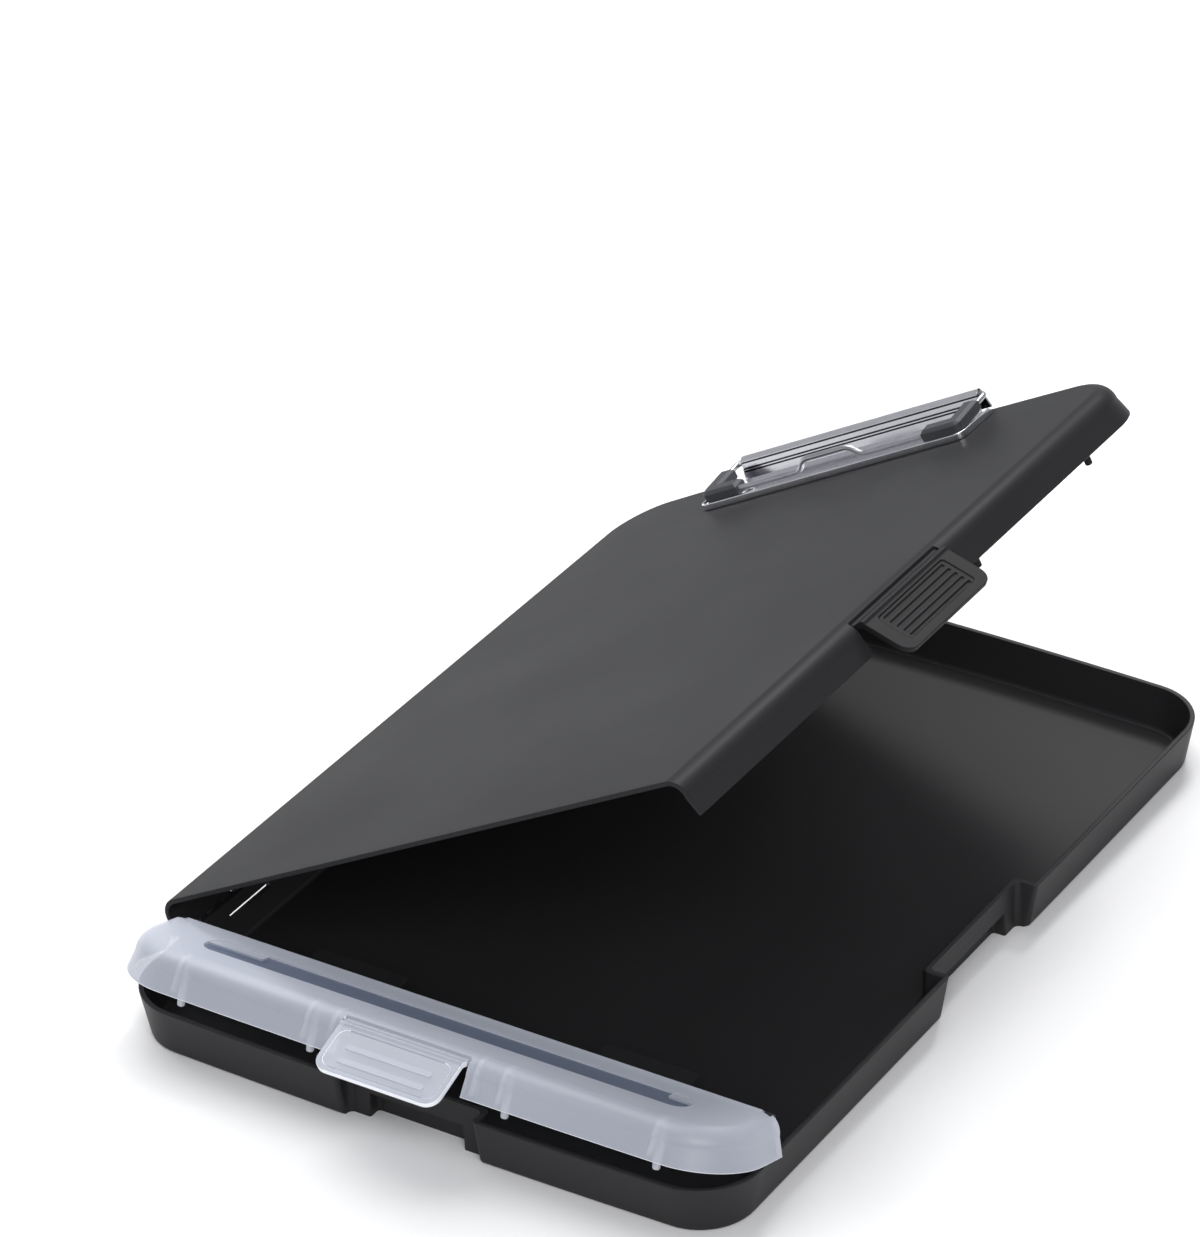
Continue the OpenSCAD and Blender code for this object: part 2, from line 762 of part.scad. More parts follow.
// A latch drawn with its axis along y, its plate along +x and its outer face up
module latch(w, rise, recess, lean) {
    inward = recess_reach(recess) + catch_reach;
    catch_u = catch_drop * cos(lean) + inward * sin(lean);
    catch_v = catch_drop * sin(lean) - inward * cos(lean);
    corner = latch_corner_r;
    translate([0, w / 2, 0])
        rotate([90, 0, 0])
            intersection() {
                linear_extrude(w)
                    polygon([
                        [0, latch_root_r * neck_share],
                        [ridge_places[0], rise],
                        [ridge_places[1], rise + ridge_h],
                        [ridge_places[2], rise],
                        [latch_len, rise],
                        [latch_len, rise - latch_t],
                        [heel_place, rise - latch_t],
                        [latch_root_r, 0],
                        [0, -latch_root_r * neck_share]
                    ]);
                translate([0, rise + past, 0])
                    rotate([90, 0, 0])
                        linear_extrude(rise + 3 * past)
                            polygon(concat(
                                [[0, 0]],
                                arc([latch_len - corner, corner], corner, -90, 0, corner_steps),
                                arc([latch_len - corner, w - corner], corner, 0, 90, corner_steps),
                                [[0, w]]
                            ));
            }
    rod_y(0, -w / 2, 0, w, latch_root_r);
    rod_y(0, -w / 2 - latch_pin_len - latch_gap, 0, w + 2 * (latch_pin_len + latch_gap), latch_pin_r);
    box(
        [catch_u, -w / 2 + scoop_end, catch_v],
        [catch_u + catch_t, w / 2 - scoop_end, rise - latch_t / 2]
    );
}

module lid_latch() {
    groove_side = panel_side + panel_far / 2;
    color([0.18, 0.18, 0.19])
        lid_pose()
            translate([lid_latch_x, lid_latch_y, latch_axis_z])
                rotate([0, 90 + lid_latch_lean - lid_latch_angle, 0])
                    difference() {
                        latch(lid_latch_w, lid_latch_rise, side_recess, lid_latch_lean);
                        box(
                            [panel_near, panel_side - lid_latch_w / 2, lid_latch_rise - panel_depth],
                            [latch_len - panel_far, lid_latch_w / 2 - panel_side, lid_latch_rise + past]
                        );
                        for (k = [0:thumb_groove_count - 1]) {
                            u = thumb_grooves_near + thumb_groove_pitch * k;
                            box(
                                [u, groove_side - lid_latch_w / 2, lid_latch_rise - thumb_groove_depth],
                                [u + thumb_groove_w, lid_latch_w / 2 - groove_side, lid_latch_rise]
                            );
                        }
                    }
}

module pen_cover() {
    window_half = cover_latch_w / 2 + latch_end_gap;
    front = cover_latch_x - window_half;
    color([0.82, 0.84, 0.9])
        cover_pose()
            difference() {
                union() {
                    difference() {
                        shell_outside();
                        beyond(cover_axis_y - roof_edge);
                        translate([0, cover_axis_y - roof_edge, closed_h])
                            rotate([45, 0, 0])
                                cube([2 * case_w, bevel_side, bevel_side], center = true);
                        shell_hollow();
                        box(
                            [front, -case_len, 0],
                            [front + 2 * window_half, cover_latch_y + opening_in, closed_h + past]
                        );
                        for (side = [0, 1]) {
                            mirror([side, 0, 0])
                                box(
                                    [bead_half, cover_axis_y - ear_r - ear_gap, cover_axis_z - ear_slot_h],
                                    [ear_out_x + latch_gap, cover_axis_y + ear_r, closed_h + past]
                                );
                        }
                        translate([0, groove_y - half_len, closed_h - groove_depth])
                            linear_extrude(groove_depth + past)
                                polygon(slot_outline(groove_len, groove_w));
                    }
                    rod_x(-bead_half, cover_axis_y, cover_axis_z, 2 * bead_half, bead_r);
                    for (x = cover_peg_places) {
                        peg(x, cover_peg_y(x));
                    }
                    intersection() {
                        shell_outside();
                        for (x = cover_peg_places) {
                            box(
                                [x - peg_rib_t / 2, -half_len, tray_h + latch_gap],
                                [x + peg_rib_t / 2, cover_peg_y(x), roll_z]
                            );
                        }
                    }
                    for (x = [front - latch_pin_len - root, front + 2 * window_half]) {
                        rod_x(
                            x, cover_latch_y, latch_axis_z,
                            latch_pin_len + root, latch_root_r + lug_wall
                        );
                    }
                }
                rod_x(front, cover_latch_y, latch_axis_z, 2 * window_half, latch_root_r + latch_gap);
                rod_x(
                    front - latch_pin_len, cover_latch_y, latch_axis_z,
                    2 * (window_half + latch_pin_len), latch_pin_r + pin_gap
                );
                for (side = [0, 1]) {
                    mirror([side, 0, 0])
                        rod_x(
                            bead_half - cover_pin_in - pin_gap, cover_axis_y, cover_axis_z,
                            cover_pin_in + past, cover_pin_bore_r
                        );
                }
            }
}

module cover_pin() {
    rod_x(
        bead_half - cover_pin_in, cover_axis_y, cover_axis_z,
        cover_pin_in + latch_gap + ear_t, cover_pin_r
    );
}

module pen_cover_pin_left() {
    color([0.6, 0.61, 0.63])
        mirror([1, 0, 0])
            cover_pin();
}

module pen_cover_pin_right() {
    color([0.6, 0.61, 0.63])
        cover_pin();
}

module pen_cover_latch() {
    color([0.85, 0.87, 0.92])
        cover_pose()
            translate([cover_latch_x, cover_latch_y, latch_axis_z])
                rotate([90 + cover_latch_lean - cover_latch_angle, 0, 0])
                    rotate([0, 0, -90]) {
                        latch(cover_latch_w, cover_latch_rise, front_recess, cover_latch_lean);
                        for (u = thumb_rib_places) {
                            rod_y(
                                u, thumb_rib_side - cover_latch_w / 2, cover_latch_rise,
                                cover_latch_w - 2 * thumb_rib_side, thumb_rib_r
                            );
                        }
                    }
}

// Outline of the base plate, set in by inset, with two round corners at its near edge
function plate_outline(inset) =
    let (w = clip_w / 2 - inset, r = clip_corner_r - inset, y = clip_near_y + inset + r)
    concat(
        arc([w - r, y], r, 0, -90, corner_steps),
        arc([r - w, y], r, -90, -180, corner_steps),
        [[-w, housing_foot_y + clip_t], [w, housing_foot_y + clip_t]]
    );

// Section of the spring housing in the YZ plane
function housing_section() =
    let (c = [bail_axis_y, bail_axis_z], outer = fold_r + clip_t)
    concat(
        [[housing_foot_y, closed_h]],
        arc(c, outer, fold_span[1], fold_span[0], corner_steps),
        [[housing_far_y, closed_h], [housing_far_y - clip_t, closed_h]],
        arc(c, fold_r, fold_span[0], fold_span[1], corner_steps),
        [[housing_foot_y + clip_t, closed_h]]
    );

module clip_plate() {
    color([0.8, 0.81, 0.83])
        lid_pose()
            difference() {
                union() {
                    difference() {
                        translate([0, 0, closed_h])
                            linear_extrude(clip_rim_h)
                                polygon(plate_outline(0));
                        translate([0, 0, closed_h + clip_t])
                            linear_extrude(clip_rim_h)
                                polygon(plate_outline(clip_t));
                        box(
                            [-clip_w, housing_foot_y - clip_t / 2, closed_h + clip_t],
                            [clip_w, half_len, closed_h + clip_rim_h + past]
                        );
                    }
                    translate([-housing_w / 2, 0, 0])
                        rotate([90, 0, 90])
                            linear_extrude(housing_w)
                                polygon(housing_section());
                }
                for (side = [-1, 1]) {
                    translate([side * rivet_x, clip_near_y + rivet_y, closed_h]) {
                        translate([0, 0, -past])
                            cylinder(h = clip_t + 2 * past, r = rivet_r + rivet_gap, $fn = round_fn);
                        translate([0, 0, clip_t - dimple_depth])
                            difference() {
                                cylinder(h = past, r = dimple_r, $fn = round_fn);
                                translate([0, 0, -past])
                                    cylinder(
                                        h = 3 * past, r = rivet_flange_r + dimple_depth,
                                        $fn = round_fn
                                    );
                            }
                    }
                }
                translate([0, housing_far_y - housing_notch + notch_cut_r, closed_h - past])
                    cylinder(h = housing_h - fold_r, r = notch_cut_r, $fn = 96);
            }
}

// A bend of the wire in the XY plane round a point, from one direction to another
module wire_bend(x, y, r, from, to, thick) {
    translate([x, y, 0])
        rotate([0, 0, from])
            rotate_extrude(angle = to - from, $fn = round_fn * 2)
                translate([r, 0])
                    circle(r = thick, $fn = 24);
}

// The bent wire, drawn flat with the hinge axis along x and the bar at -y
module wire_form(thick) {
    for (side = [0, 1]) {
        mirror([side, 0, 0]) {
            rod_x(arm_x - arm_bend_r - spring_leg, 0, 0, spring_leg, thick);
            wire_bend(arm_x - arm_bend_r, -arm_bend_r, arm_bend_r, 0, 90, thick);
            rod_y(arm_x, bail_corner_r - bail_len, 0, bail_len - bail_corner_r - arm_bend_r, thick);
            wire_bend(arm_x - bail_corner_r, bail_corner_r - bail_len, bail_corner_r, -90, 0, thick);
            rod_x(arch_w / 2, -bail_len, 0, arm_x - bail_corner_r - arch_w / 2, thick);
            translate([0, -bail_len, 0])
                rotate([90, 0, 0]) {
                    wire_bend(arch_w / 2, arch_bend_r, arch_bend_r, -90 - arch_angle, -90, thick);
                    wire_bend(
                        arch_top_half, arch_h - arch_bend_r, arch_bend_r, 90 - arch_angle, 90, thick
                    );
                }
        }
    }
    rod_x(-arch_top_half, -bail_len, arch_h, 2 * arch_top_half, thick);
}

// The bail's pieces are drawn flat and turned here onto the clip
module bail_pose() {
    lid_pose()
        translate([0, bail_axis_y, bail_axis_z])
            rotate([bail_tilt, 0, 0])
                children();
}

module clip_bail() {
    color([0.78, 0.79, 0.81])
        bail_pose()
            wire_form(wire_r);
}

module clip_grip() {
    r = grip_out + wire_r;
    corner = [arm_x + grip_out - r, r - grip_out - bail_len];
    difference() {
        translate([0, 0, -grip_h / 2])
            linear_extrude(grip_h)
                polygon(concat(
                    arc(corner, r, -90, 0, corner_steps),
                    [
                        [arm_x + grip_out, grip_arm - bail_len],
                        [arm_x - grip_in, grip_arm - bail_len],
                        [arm_x - grip_in, grip_in - bail_len],
                        [arm_x - grip_bar, grip_in - bail_len],
                        [arm_x - grip_bar, -grip_out - bail_len]
                    ]
                ));
        wire_form(wire_r + grip_fit);
    }
}

module clip_grip_left() {
    color([0.08, 0.08, 0.085])
        bail_pose()
            mirror([1, 0, 0])
                clip_grip();
}

module clip_grip_right() {
    color([0.08, 0.08, 0.085])
        bail_pose()
            clip_grip();
}

// A hollow rivet, from its flange on the base plate to its spread end under the washer
module clip_rivet(x) {
    top = closed_h + clip_t;
    low = roof_z - washer_t;
    bevel = rivet_flange_t / 2;
    color([0.8, 0.8, 0.82])
        lid_pose()
            translate([x, clip_near_y + rivet_y, 0])
                rotate_extrude($fn = round_fn)
                    polygon([
                        [rivet_hole_r, low - rivet_flange_t],
                        [rivet_flange_r, low - rivet_flange_t],
                        [rivet_flange_r, low],
                        [rivet_r, low],
                        [rivet_r, top],
                        [rivet_flange_r, top],
                        [rivet_flange_r, top + bevel],
                        [rivet_flange_r - bevel, top + rivet_flange_t],
                        [rivet_hole_r + bevel, top + rivet_flange_t],
                        [rivet_hole_r, top + bevel]
                    ]);
}

module clip_rivet_left() {
    clip_rivet(-rivet_x);
}

module clip_rivet_right() {
    clip_rivet(rivet_x);
}

module rivet_washer(x) {
    color([0.7, 0.71, 0.73])
        lid_pose()
            translate([x, clip_near_y + rivet_y, roof_z - washer_t])
                difference() {
                    cylinder(h = washer_t, r = washer_r, $fn = round_fn);
                    translate([0, 0, -past])
                        cylinder(h = washer_t + 2 * past, r = rivet_r + rivet_gap, $fn = round_fn);
                }
}

module rivet_washer_left() {
    rivet_washer(-rivet_x);
}

module rivet_washer_right() {
    rivet_washer(rivet_x);
}

base_tray();
compartment_divider();
lid();
lid_hinge_pin_upper();
lid_hinge_pin_lower();
lid_latch();
pen_cover();
pen_cover_pin_left();
pen_cover_pin_right();
pen_cover_latch();
clip_plate();
clip_bail();
clip_grip_left();
clip_grip_right();
clip_rivet_left();
clip_rivet_right();
rivet_washer_left();
rivet_washer_right();
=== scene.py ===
import math

import bmesh
import bpy
from mathutils import Matrix, Vector


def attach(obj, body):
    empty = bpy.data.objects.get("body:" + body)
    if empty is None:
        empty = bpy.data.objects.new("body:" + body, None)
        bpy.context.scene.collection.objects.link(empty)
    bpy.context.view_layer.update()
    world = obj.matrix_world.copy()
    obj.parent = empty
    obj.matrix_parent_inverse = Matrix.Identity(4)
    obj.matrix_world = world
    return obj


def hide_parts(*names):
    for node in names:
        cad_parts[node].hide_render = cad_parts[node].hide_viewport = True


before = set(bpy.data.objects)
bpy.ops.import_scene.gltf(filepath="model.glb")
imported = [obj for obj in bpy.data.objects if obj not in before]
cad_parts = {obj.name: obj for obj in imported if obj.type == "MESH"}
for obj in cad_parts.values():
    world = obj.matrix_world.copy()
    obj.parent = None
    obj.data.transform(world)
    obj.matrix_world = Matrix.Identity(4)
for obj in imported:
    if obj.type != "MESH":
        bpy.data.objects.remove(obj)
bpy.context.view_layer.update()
scene = bpy.context.scene
MM = 0.001

# Sizes are in millimetres and repeat those of the solids. The case as a whole:
CASE_W, CASE_LEN, CLOSED_H = 241.0, 351.0, 30.2
HALF_W, HALF_LEN = CASE_W / 2, CASE_LEN / 2
CORNER_R, FAR_BOW, NEAR_BOW = 24.0, 3.5, 1.9

# Tray: walls, floor, foot, rim, and the recesses for the latches
TRAY_H, WALL_T, FLOOR_T, DRAFT = 18.0, 1.9, 2.0, 3.0
TRAY_IN = 2.2
TRAY_HALF_W, TRAY_HALF_LEN = HALF_W - TRAY_IN, HALF_LEN - TRAY_IN
FOOT_BEVEL_H, FOOT_BEVEL_W = 0.8, 1.2
WALL_LEAN = DRAFT / (TRAY_H - FOOT_BEVEL_H)
RIM_ROUND = 0.5
SIDE_RECESS, FRONT_RECESS = 7.7, 6.8
RECESS_SIDE, RECESS_CORNER, RECESS_MOUTH_R = 2.6, 2.2, 1.6
SCOOP_H, SCOOP_DEPTH, SCOOP_END, SCOOP_CORNER, SCOOP_MOUTH_R = 9.6, 4.8, 8.0, 1.4, 0.8

# Shells of the lid and the pen cover: skirt, rolled edge and roof
SKIN_T, SKIRT_T, ROOF_T, SKIRT_Z = 1.75, 1.8, 2.0, 17.0
SKIRT_LEAN, ROLL_W, ROLL_H = 2.0, 6.4, 6.8
LID_EDGE_Y = 42.2 - HALF_LEN

# Lid hinges: spans of the knuckles from the middle of a hinge, and the windows under the tray's knuckles
HINGE_X, HINGE_Z = -121.0, 15.2
UPPER_HINGE_Y, LOWER_HINGE_Y = 105.6, -95.7
KNUCKLE_R, KNUCKLE_GAP, KNUCKLE_ROOT = 2.8, 0.5, 1.4
LID_KNUCKLES = [(-24.3, -19.7), (-15.5, -12.4), (13.0, 16.2), (20.1, 23.9)]
TRAY_KNUCKLES = [(-12.0, -3.9), (5.3, 12.3)]
WINDOW_SPAN, WINDOW_Z = (-11.3, 12.3), (11.12, 13.32)

# Pen cover's hinge: the cover's bead and the tray's ears
COVER_AXIS_Y, COVER_AXIS_Z = LID_EDGE_Y - 2.9, 27.0
ROOF_EDGE_Y = COVER_AXIS_Y - 1.1
BEAD_R, BEAD_HALF = 2.2, 111.2
EAR_OUT_X, EAR_T, EAR_R = 114.6, 3.0, 2.3

# Latches: axis, plate, root, pins and catch
LATCH_IN, LATCH_Z = 5.0, 27.0
LATCH_X, LATCH_Y = HALF_W - LATCH_IN, LATCH_IN - HALF_LEN
LID_LATCH_Y, LID_LATCH_W, LID_LATCH_RISE = 4.0, 55.5, 4.3
COVER_LATCH_X, COVER_LATCH_W, COVER_LATCH_RISE = -1.5, 47.0, 3.4
LATCH_T, LATCH_LEN, LATCH_CORNER_R = 2.0, 21.5, 5.0
LATCH_GAP, LATCH_END_GAP = 0.4, 1.0
LATCH_ROOT_R, LATCH_PIN_R, LATCH_PIN_LEN = 1.3, 0.8, 2.0
SOCKET_R, LID_SOCKET_LEN, COVER_SOCKET_LEN = 1.6, 2.4, 1.7
CATCH_REACH, CATCH_T = 0.9, 1.4
PANEL_FROM, PANEL_TO, PANEL_IN, PANEL_DEEP = 4.8, 3.4, 6.0, 0.4
FINGER_GROOVES, FINGER_GROOVE_FROM, FINGER_GROOVE_PITCH = 5, 6.6, 2.6
FINGER_GROOVE_IN, FINGER_GROOVE_R = 7.9, 0.55
DISH_FROM, DISH_IN, DISH_DEEP = 4.6, 2.0, 0.25
FINGER_RIBS, FINGER_RIB_HALF, FINGER_RIB_IN = (10.5, 16.0), 1.1, 7.0

# Pegs and ribs inside the skirts, and the groove in the pen cover's roof
LID_PEGS, COVER_PEGS = (51.5, 131.0), (-91.0, -39.0, 36.0, 92.0)
PEG_TIP_Z, PEG_TIP_R, PEG_ROOT_R = 11.9, 1.3, 1.8
PEG_RIB_T, PEG_IN_ROOF = 1.2, 0.8
GUSSET_T, GUSSET_DEEP, GUSSET_END_Y, GUSSET_LOW_Z = 1.6, 2.6, -164.0, TRAY_H + 0.4
GUSSET_IN, GUSSET_UNDER, WINDOW_GUSSET_OUT = 0.6, 0.7, 3.2
GROOVE_LEN, GROOVE_W, GROOVE_DEPTH, GROOVE_Y = 187.0, 11.0, 0.9, 23.5 - HALF_LEN
LEDGES_FROM, LEDGE_LOW, LEDGE_IN = (-72.0, 84.0), 0.3, 1.2

# Divider, its paper tabs and the guides that hold it
DIVIDER_Y, DIVIDER_T, DIVIDER_TOP_Z = COVER_AXIS_Y + 4.8, 1.8, TRAY_H - 1
DIVIDER_HALF = TRAY_HALF_W - WALL_T - DRAFT - 2.4
TAB_X, TAB_W, TAB_OUT, TAB_T = 56.5, 35.6, 16.0, 1.6
GUIDE_X, GUIDE_Y, GUIDE_T, GUIDE_H = (107.0, 114.6), (-1.4, 2.0), 1.2, 10.6

# Clip: plate, spring housing, wire bail, grips and rivets
CLIP_W, CLIP_T, CLIP_RIM_H, CLIP_CORNER_R = 124.0, 0.8, 2.6, 4.0
CLIP_NEAR_Y = HALF_LEN - 35.5
HOUSING_W, HOUSING_H = 111.5, 8.5
HOUSING_FOOT_Y = CLIP_NEAR_Y + 23.4
HOUSING_FAR_Y = HOUSING_FOOT_Y + 8.2
HOUSING_NOTCH_HALF, HOUSING_NOTCH_DEEP = 7.0, 1.5
WIRE_R, FOLD_R, FOLD_ANGLES = 1.1, 1.3, (math.radians(160), math.radians(20))
CREASES, CREASE_DEEP = (3.4, 4.4, 6.5), 0.3
BAIL_Y = (HOUSING_FOOT_Y + HOUSING_FAR_Y) / 2 + 0.3
BAIL_Z = CLOSED_H + HOUSING_H - CLIP_T - FOLD_R
ARM_X, ARM_BEND_R, BAIL_CORNER_R, SPRING_LEG = 58.5, 3.0, 4.0, 36.0
ARCH_H, ARCH_W, ARCH_BEND_R = 4.0, 33.0, 5.0
GRIP_H, GRIP_OUT, GRIP_IN, GRIP_ARM, GRIP_BAR = 5.2, 2.1, 4.1, 14.8, 14.9
GRIP_CORNER, GRIP_EDGE = 3.0, 1.2
BAR_Z = CLOSED_H + CLIP_T + 0.3 + GRIP_H / 2 + GRIP_OUT * 0.12
BAR_Y = CLIP_NEAR_Y + CLIP_T + 3.5
BAIL_TILT = math.atan2(BAIL_Z - BAR_Z, BAIL_Y - BAR_Y)
BAIL_LEN = math.hypot(BAIL_Z - BAR_Z, BAIL_Y - BAR_Y)
RIVET_X, RIVET_Y = 45.0, CLIP_NEAR_Y + 12.8
RIVET_R, RIVET_BORE_R, DIMPLE_R, DIMPLE_DEEP = 2.3, 1.7, 5.2, 0.3
FLANGE_R, FLANGE_T, WASHER_T = 3.6, 0.7, 0.8

# How far each moving piece is open
LID_ANGLE, COVER_ANGLE = math.radians(28.8), math.radians(17.5)
LID_LATCH_ANGLE, COVER_LATCH_ANGLE = math.radians(61.3), math.radians(66.9)


def turned_about(point, angle, axis):
    """A turn about an axis through a point."""
    return Matrix.Translation(point) @ Matrix.Rotation(angle, 4, axis) @ Matrix.Translation(-Vector(point))


LID_POSE = turned_about((HINGE_X, 0, HINGE_Z), -LID_ANGLE, "Y")
COVER_POSE = turned_about((0, COVER_AXIS_Y, COVER_AXIS_Z), -COVER_ANGLE, "X")


def latch_lean(recess, rise):
    """How far a closed latch leans in."""
    inner = rise - LATCH_T
    reach = recess + TRAY_IN - LATCH_IN - LATCH_GAP
    return math.asin(reach / math.hypot(LATCH_LEN, inner)) + math.atan(inner / LATCH_LEN)


LID_LATCH_LEAN = latch_lean(SIDE_RECESS, LID_LATCH_RISE)
COVER_LATCH_LEAN = latch_lean(FRONT_RECESS, COVER_LATCH_RISE)
LID_LATCH_POSE = (
    LID_POSE
    @ Matrix.Translation((LATCH_X, LID_LATCH_Y, LATCH_Z))
    @ Matrix.Rotation(math.pi / 2 + LID_LATCH_LEAN - LID_LATCH_ANGLE, 4, "Y")
)
COVER_LATCH_POSE = (
    COVER_POSE
    @ Matrix.Translation((COVER_LATCH_X, LATCH_Y, LATCH_Z))
    @ Matrix.Rotation(math.pi / 2 + COVER_LATCH_LEAN - COVER_LATCH_ANGLE, 4, "X")
    @ Matrix.Rotation(-math.pi / 2, 4, "Z")
)
BAIL_POSE = LID_POSE @ Matrix.Translation((0, BAIL_Y, BAIL_Z)) @ Matrix.Rotation(BAIL_TILT, 4, "X")

# Camera: the photograph's viewing angle; the focal length is in pixels of a frame 1200 pixels wide
CAM_AZ, CAM_EL, CAM_ROLL = math.radians(32.836), math.radians(30.862), math.radians(-2.020)
CAM_DIST, CAM_TARGET = 2094.05, Vector((-120.81, 138.46, 0.0))
CAM_FOCAL_PX, FRAME_PX, SENSOR_MM = 5610.9, 1200.0, 36.0


def place_camera():
    away = Vector((
        math.sin(CAM_AZ) * math.cos(CAM_EL), -math.cos(CAM_AZ) * math.cos(CAM_EL), math.sin(CAM_EL)))
    eye = (CAM_TARGET + CAM_DIST * away) * MM
    right = (-away).cross(Vector((0, 0, 1))).normalized()
    up = right.cross(-away)
    rolled_right = math.cos(CAM_ROLL) * right + math.sin(CAM_ROLL) * up
    rolled_up = -math.sin(CAM_ROLL) * right + math.cos(CAM_ROLL) * up
    data = bpy.data.cameras.new("camera")
    data.sensor_width = SENSOR_MM
    data.sensor_fit = "HORIZONTAL"
    data.lens = CAM_FOCAL_PX / FRAME_PX * SENSOR_MM
    data.clip_start, data.clip_end = 0.05, 50.0
    cam = bpy.data.objects.new("camera", data)
    cam.matrix_world = Matrix((
        (rolled_right.x, rolled_up.x, away.x, eye.x),
        (rolled_right.y, rolled_up.y, away.y, eye.y),
        (rolled_right.z, rolled_up.z, away.z, eye.z),
        (0, 0, 0, 1),
    ))
    scene.collection.objects.link(cam)
    scene.camera = cam


place_camera()

# Materials


def add_node(nodes, kind, inputs=None, **settings):
    """A shader node with its settings and the values of its inputs."""
    made = nodes.new(kind)
    for key, value in settings.items():
        setattr(made, key, value)
    for key, value in (inputs or {}).items():
        made.inputs[key].default_value = value
    return made


def fine_grain_group():
    """Moulded grain: a height and a faint change of tone from noise on the piece's own coordinates."""
    g = bpy.data.node_groups.new("moulded grain", "ShaderNodeTree")
    for name, kind, value in (
            ("Grain size", "NodeSocketFloat", 1800.0), ("Tone spread", "NodeSocketFloat", 0.1),
            ("Colour", "NodeSocketColor", (0.1, 0.1, 0.1, 1)), ("Roughness", "NodeSocketFloat", 0.5),
            ("Roughness spread", "NodeSocketFloat", 0.08)):
        g.interface.new_socket(name=name, in_out="INPUT", socket_type=kind).default_value = value
    for name, kind in (
            ("Height", "NodeSocketFloat"), ("Colour", "NodeSocketColor"), ("Roughness", "NodeSocketFloat")):
        g.interface.new_socket(name=name, in_out="OUTPUT", socket_type=kind)
    n, link = g.nodes, g.links.new
    inside, out = n.new("NodeGroupInput"), n.new("NodeGroupOutput")
    place = n.new("ShaderNodeTexCoord")
    grain = add_node(n, "ShaderNodeTexNoise", {"Detail": 2.0, "Roughness": 0.6})
    link(place.outputs["Object"], grain.inputs["Vector"])
    link(inside.outputs["Grain size"], grain.inputs["Scale"])
    pits = n.new("ShaderNodeTexVoronoi")
    pit_size = add_node(n, "ShaderNodeMath", {1: 0.6}, operation="MULTIPLY")
    link(inside.outputs["Grain size"], pit_size.inputs[0])
    link(pit_size.outputs[0], pits.inputs["Scale"])
    link(place.outputs["Object"], pits.inputs["Vector"])
    both = add_node(n, "ShaderNodeMath", {1: 0.5}, operation="MULTIPLY_ADD")
    link(pits.outputs["Distance"], both.inputs[0])
    link(grain.outputs["Fac"], both.inputs[2])
    link(both.outputs[0], out.inputs["Height"])
    cloud = add_node(n, "ShaderNodeTexNoise", {"Scale": 9.0, "Detail": 4.0})
    link(place.outputs["Object"], cloud.inputs["Vector"])
    swing = add_node(
        n, "ShaderNodeMapRange", {"From Min": 0.3, "From Max": 0.7, "To Min": -1.0, "To Max": 1.0})
    link(cloud.outputs["Fac"], swing.inputs["Value"])
    tone = add_node(n, "ShaderNodeMath", {2: 1.0}, operation="MULTIPLY_ADD")
    link(swing.outputs["Result"], tone.inputs[0])
    link(inside.outputs["Tone spread"], tone.inputs[1])
    tinted = add_node(n, "ShaderNodeVectorMath", operation="SCALE")
    link(inside.outputs["Colour"], tinted.inputs[0])
    link(tone.outputs[0], tinted.inputs["Scale"])
    link(tinted.outputs[0], out.inputs["Colour"])
    rough = add_node(n, "ShaderNodeMath", operation="MULTIPLY_ADD")
    link(swing.outputs["Result"], rough.inputs[0])
    link(inside.outputs["Roughness spread"], rough.inputs[1])
    link(inside.outputs["Roughness"], rough.inputs[2])
    link(rough.outputs[0], out.inputs["Roughness"])
    return g


GRAIN = fine_grain_group()


def new_material(name):
    mat = bpy.data.materials.new(name)
    mat.use_nodes = True
    return mat, mat.node_tree.nodes, mat.node_tree.links.new, mat.node_tree.nodes["Principled BSDF"]


def add_grain(n, link, shader, colour, rough, size, bump, tone):
    """Gives a shader the moulded grain's relief and roughness; returns its colour, to be linked on or mixed
    with painted highlight and shade.
    """
    g = add_node(n, "ShaderNodeGroup", node_tree=GRAIN)
    for key, value in (
            ("Grain size", size), ("Tone spread", tone), ("Colour", (*colour, 1)), ("Roughness", rough),
            ("Roughness spread", 0.04)):
        g.inputs[key].default_value = value
    raised = add_node(n, "ShaderNodeBump", {"Strength": bump, "Distance": 0.0001})
    link(g.outputs["Height"], raised.inputs["Height"])
    link(raised.outputs["Normal"], shader.inputs["Normal"])
    link(g.outputs["Roughness"], shader.inputs["Roughness"])
    return g.outputs["Colour"]


def moulded(name, colour, rough, size=1800.0, bump=0.12, **sockets):
    """A moulded plastic or rubber with a fine grain."""
    mat, n, link, shader = new_material(name)
    link(add_grain(n, link, shader, colour, rough, size, bump, 0.08), shader.inputs["Base Color"])
    for key, value in sockets.items():
        shader.inputs[key.replace("_", " ")].default_value = value
    return mat


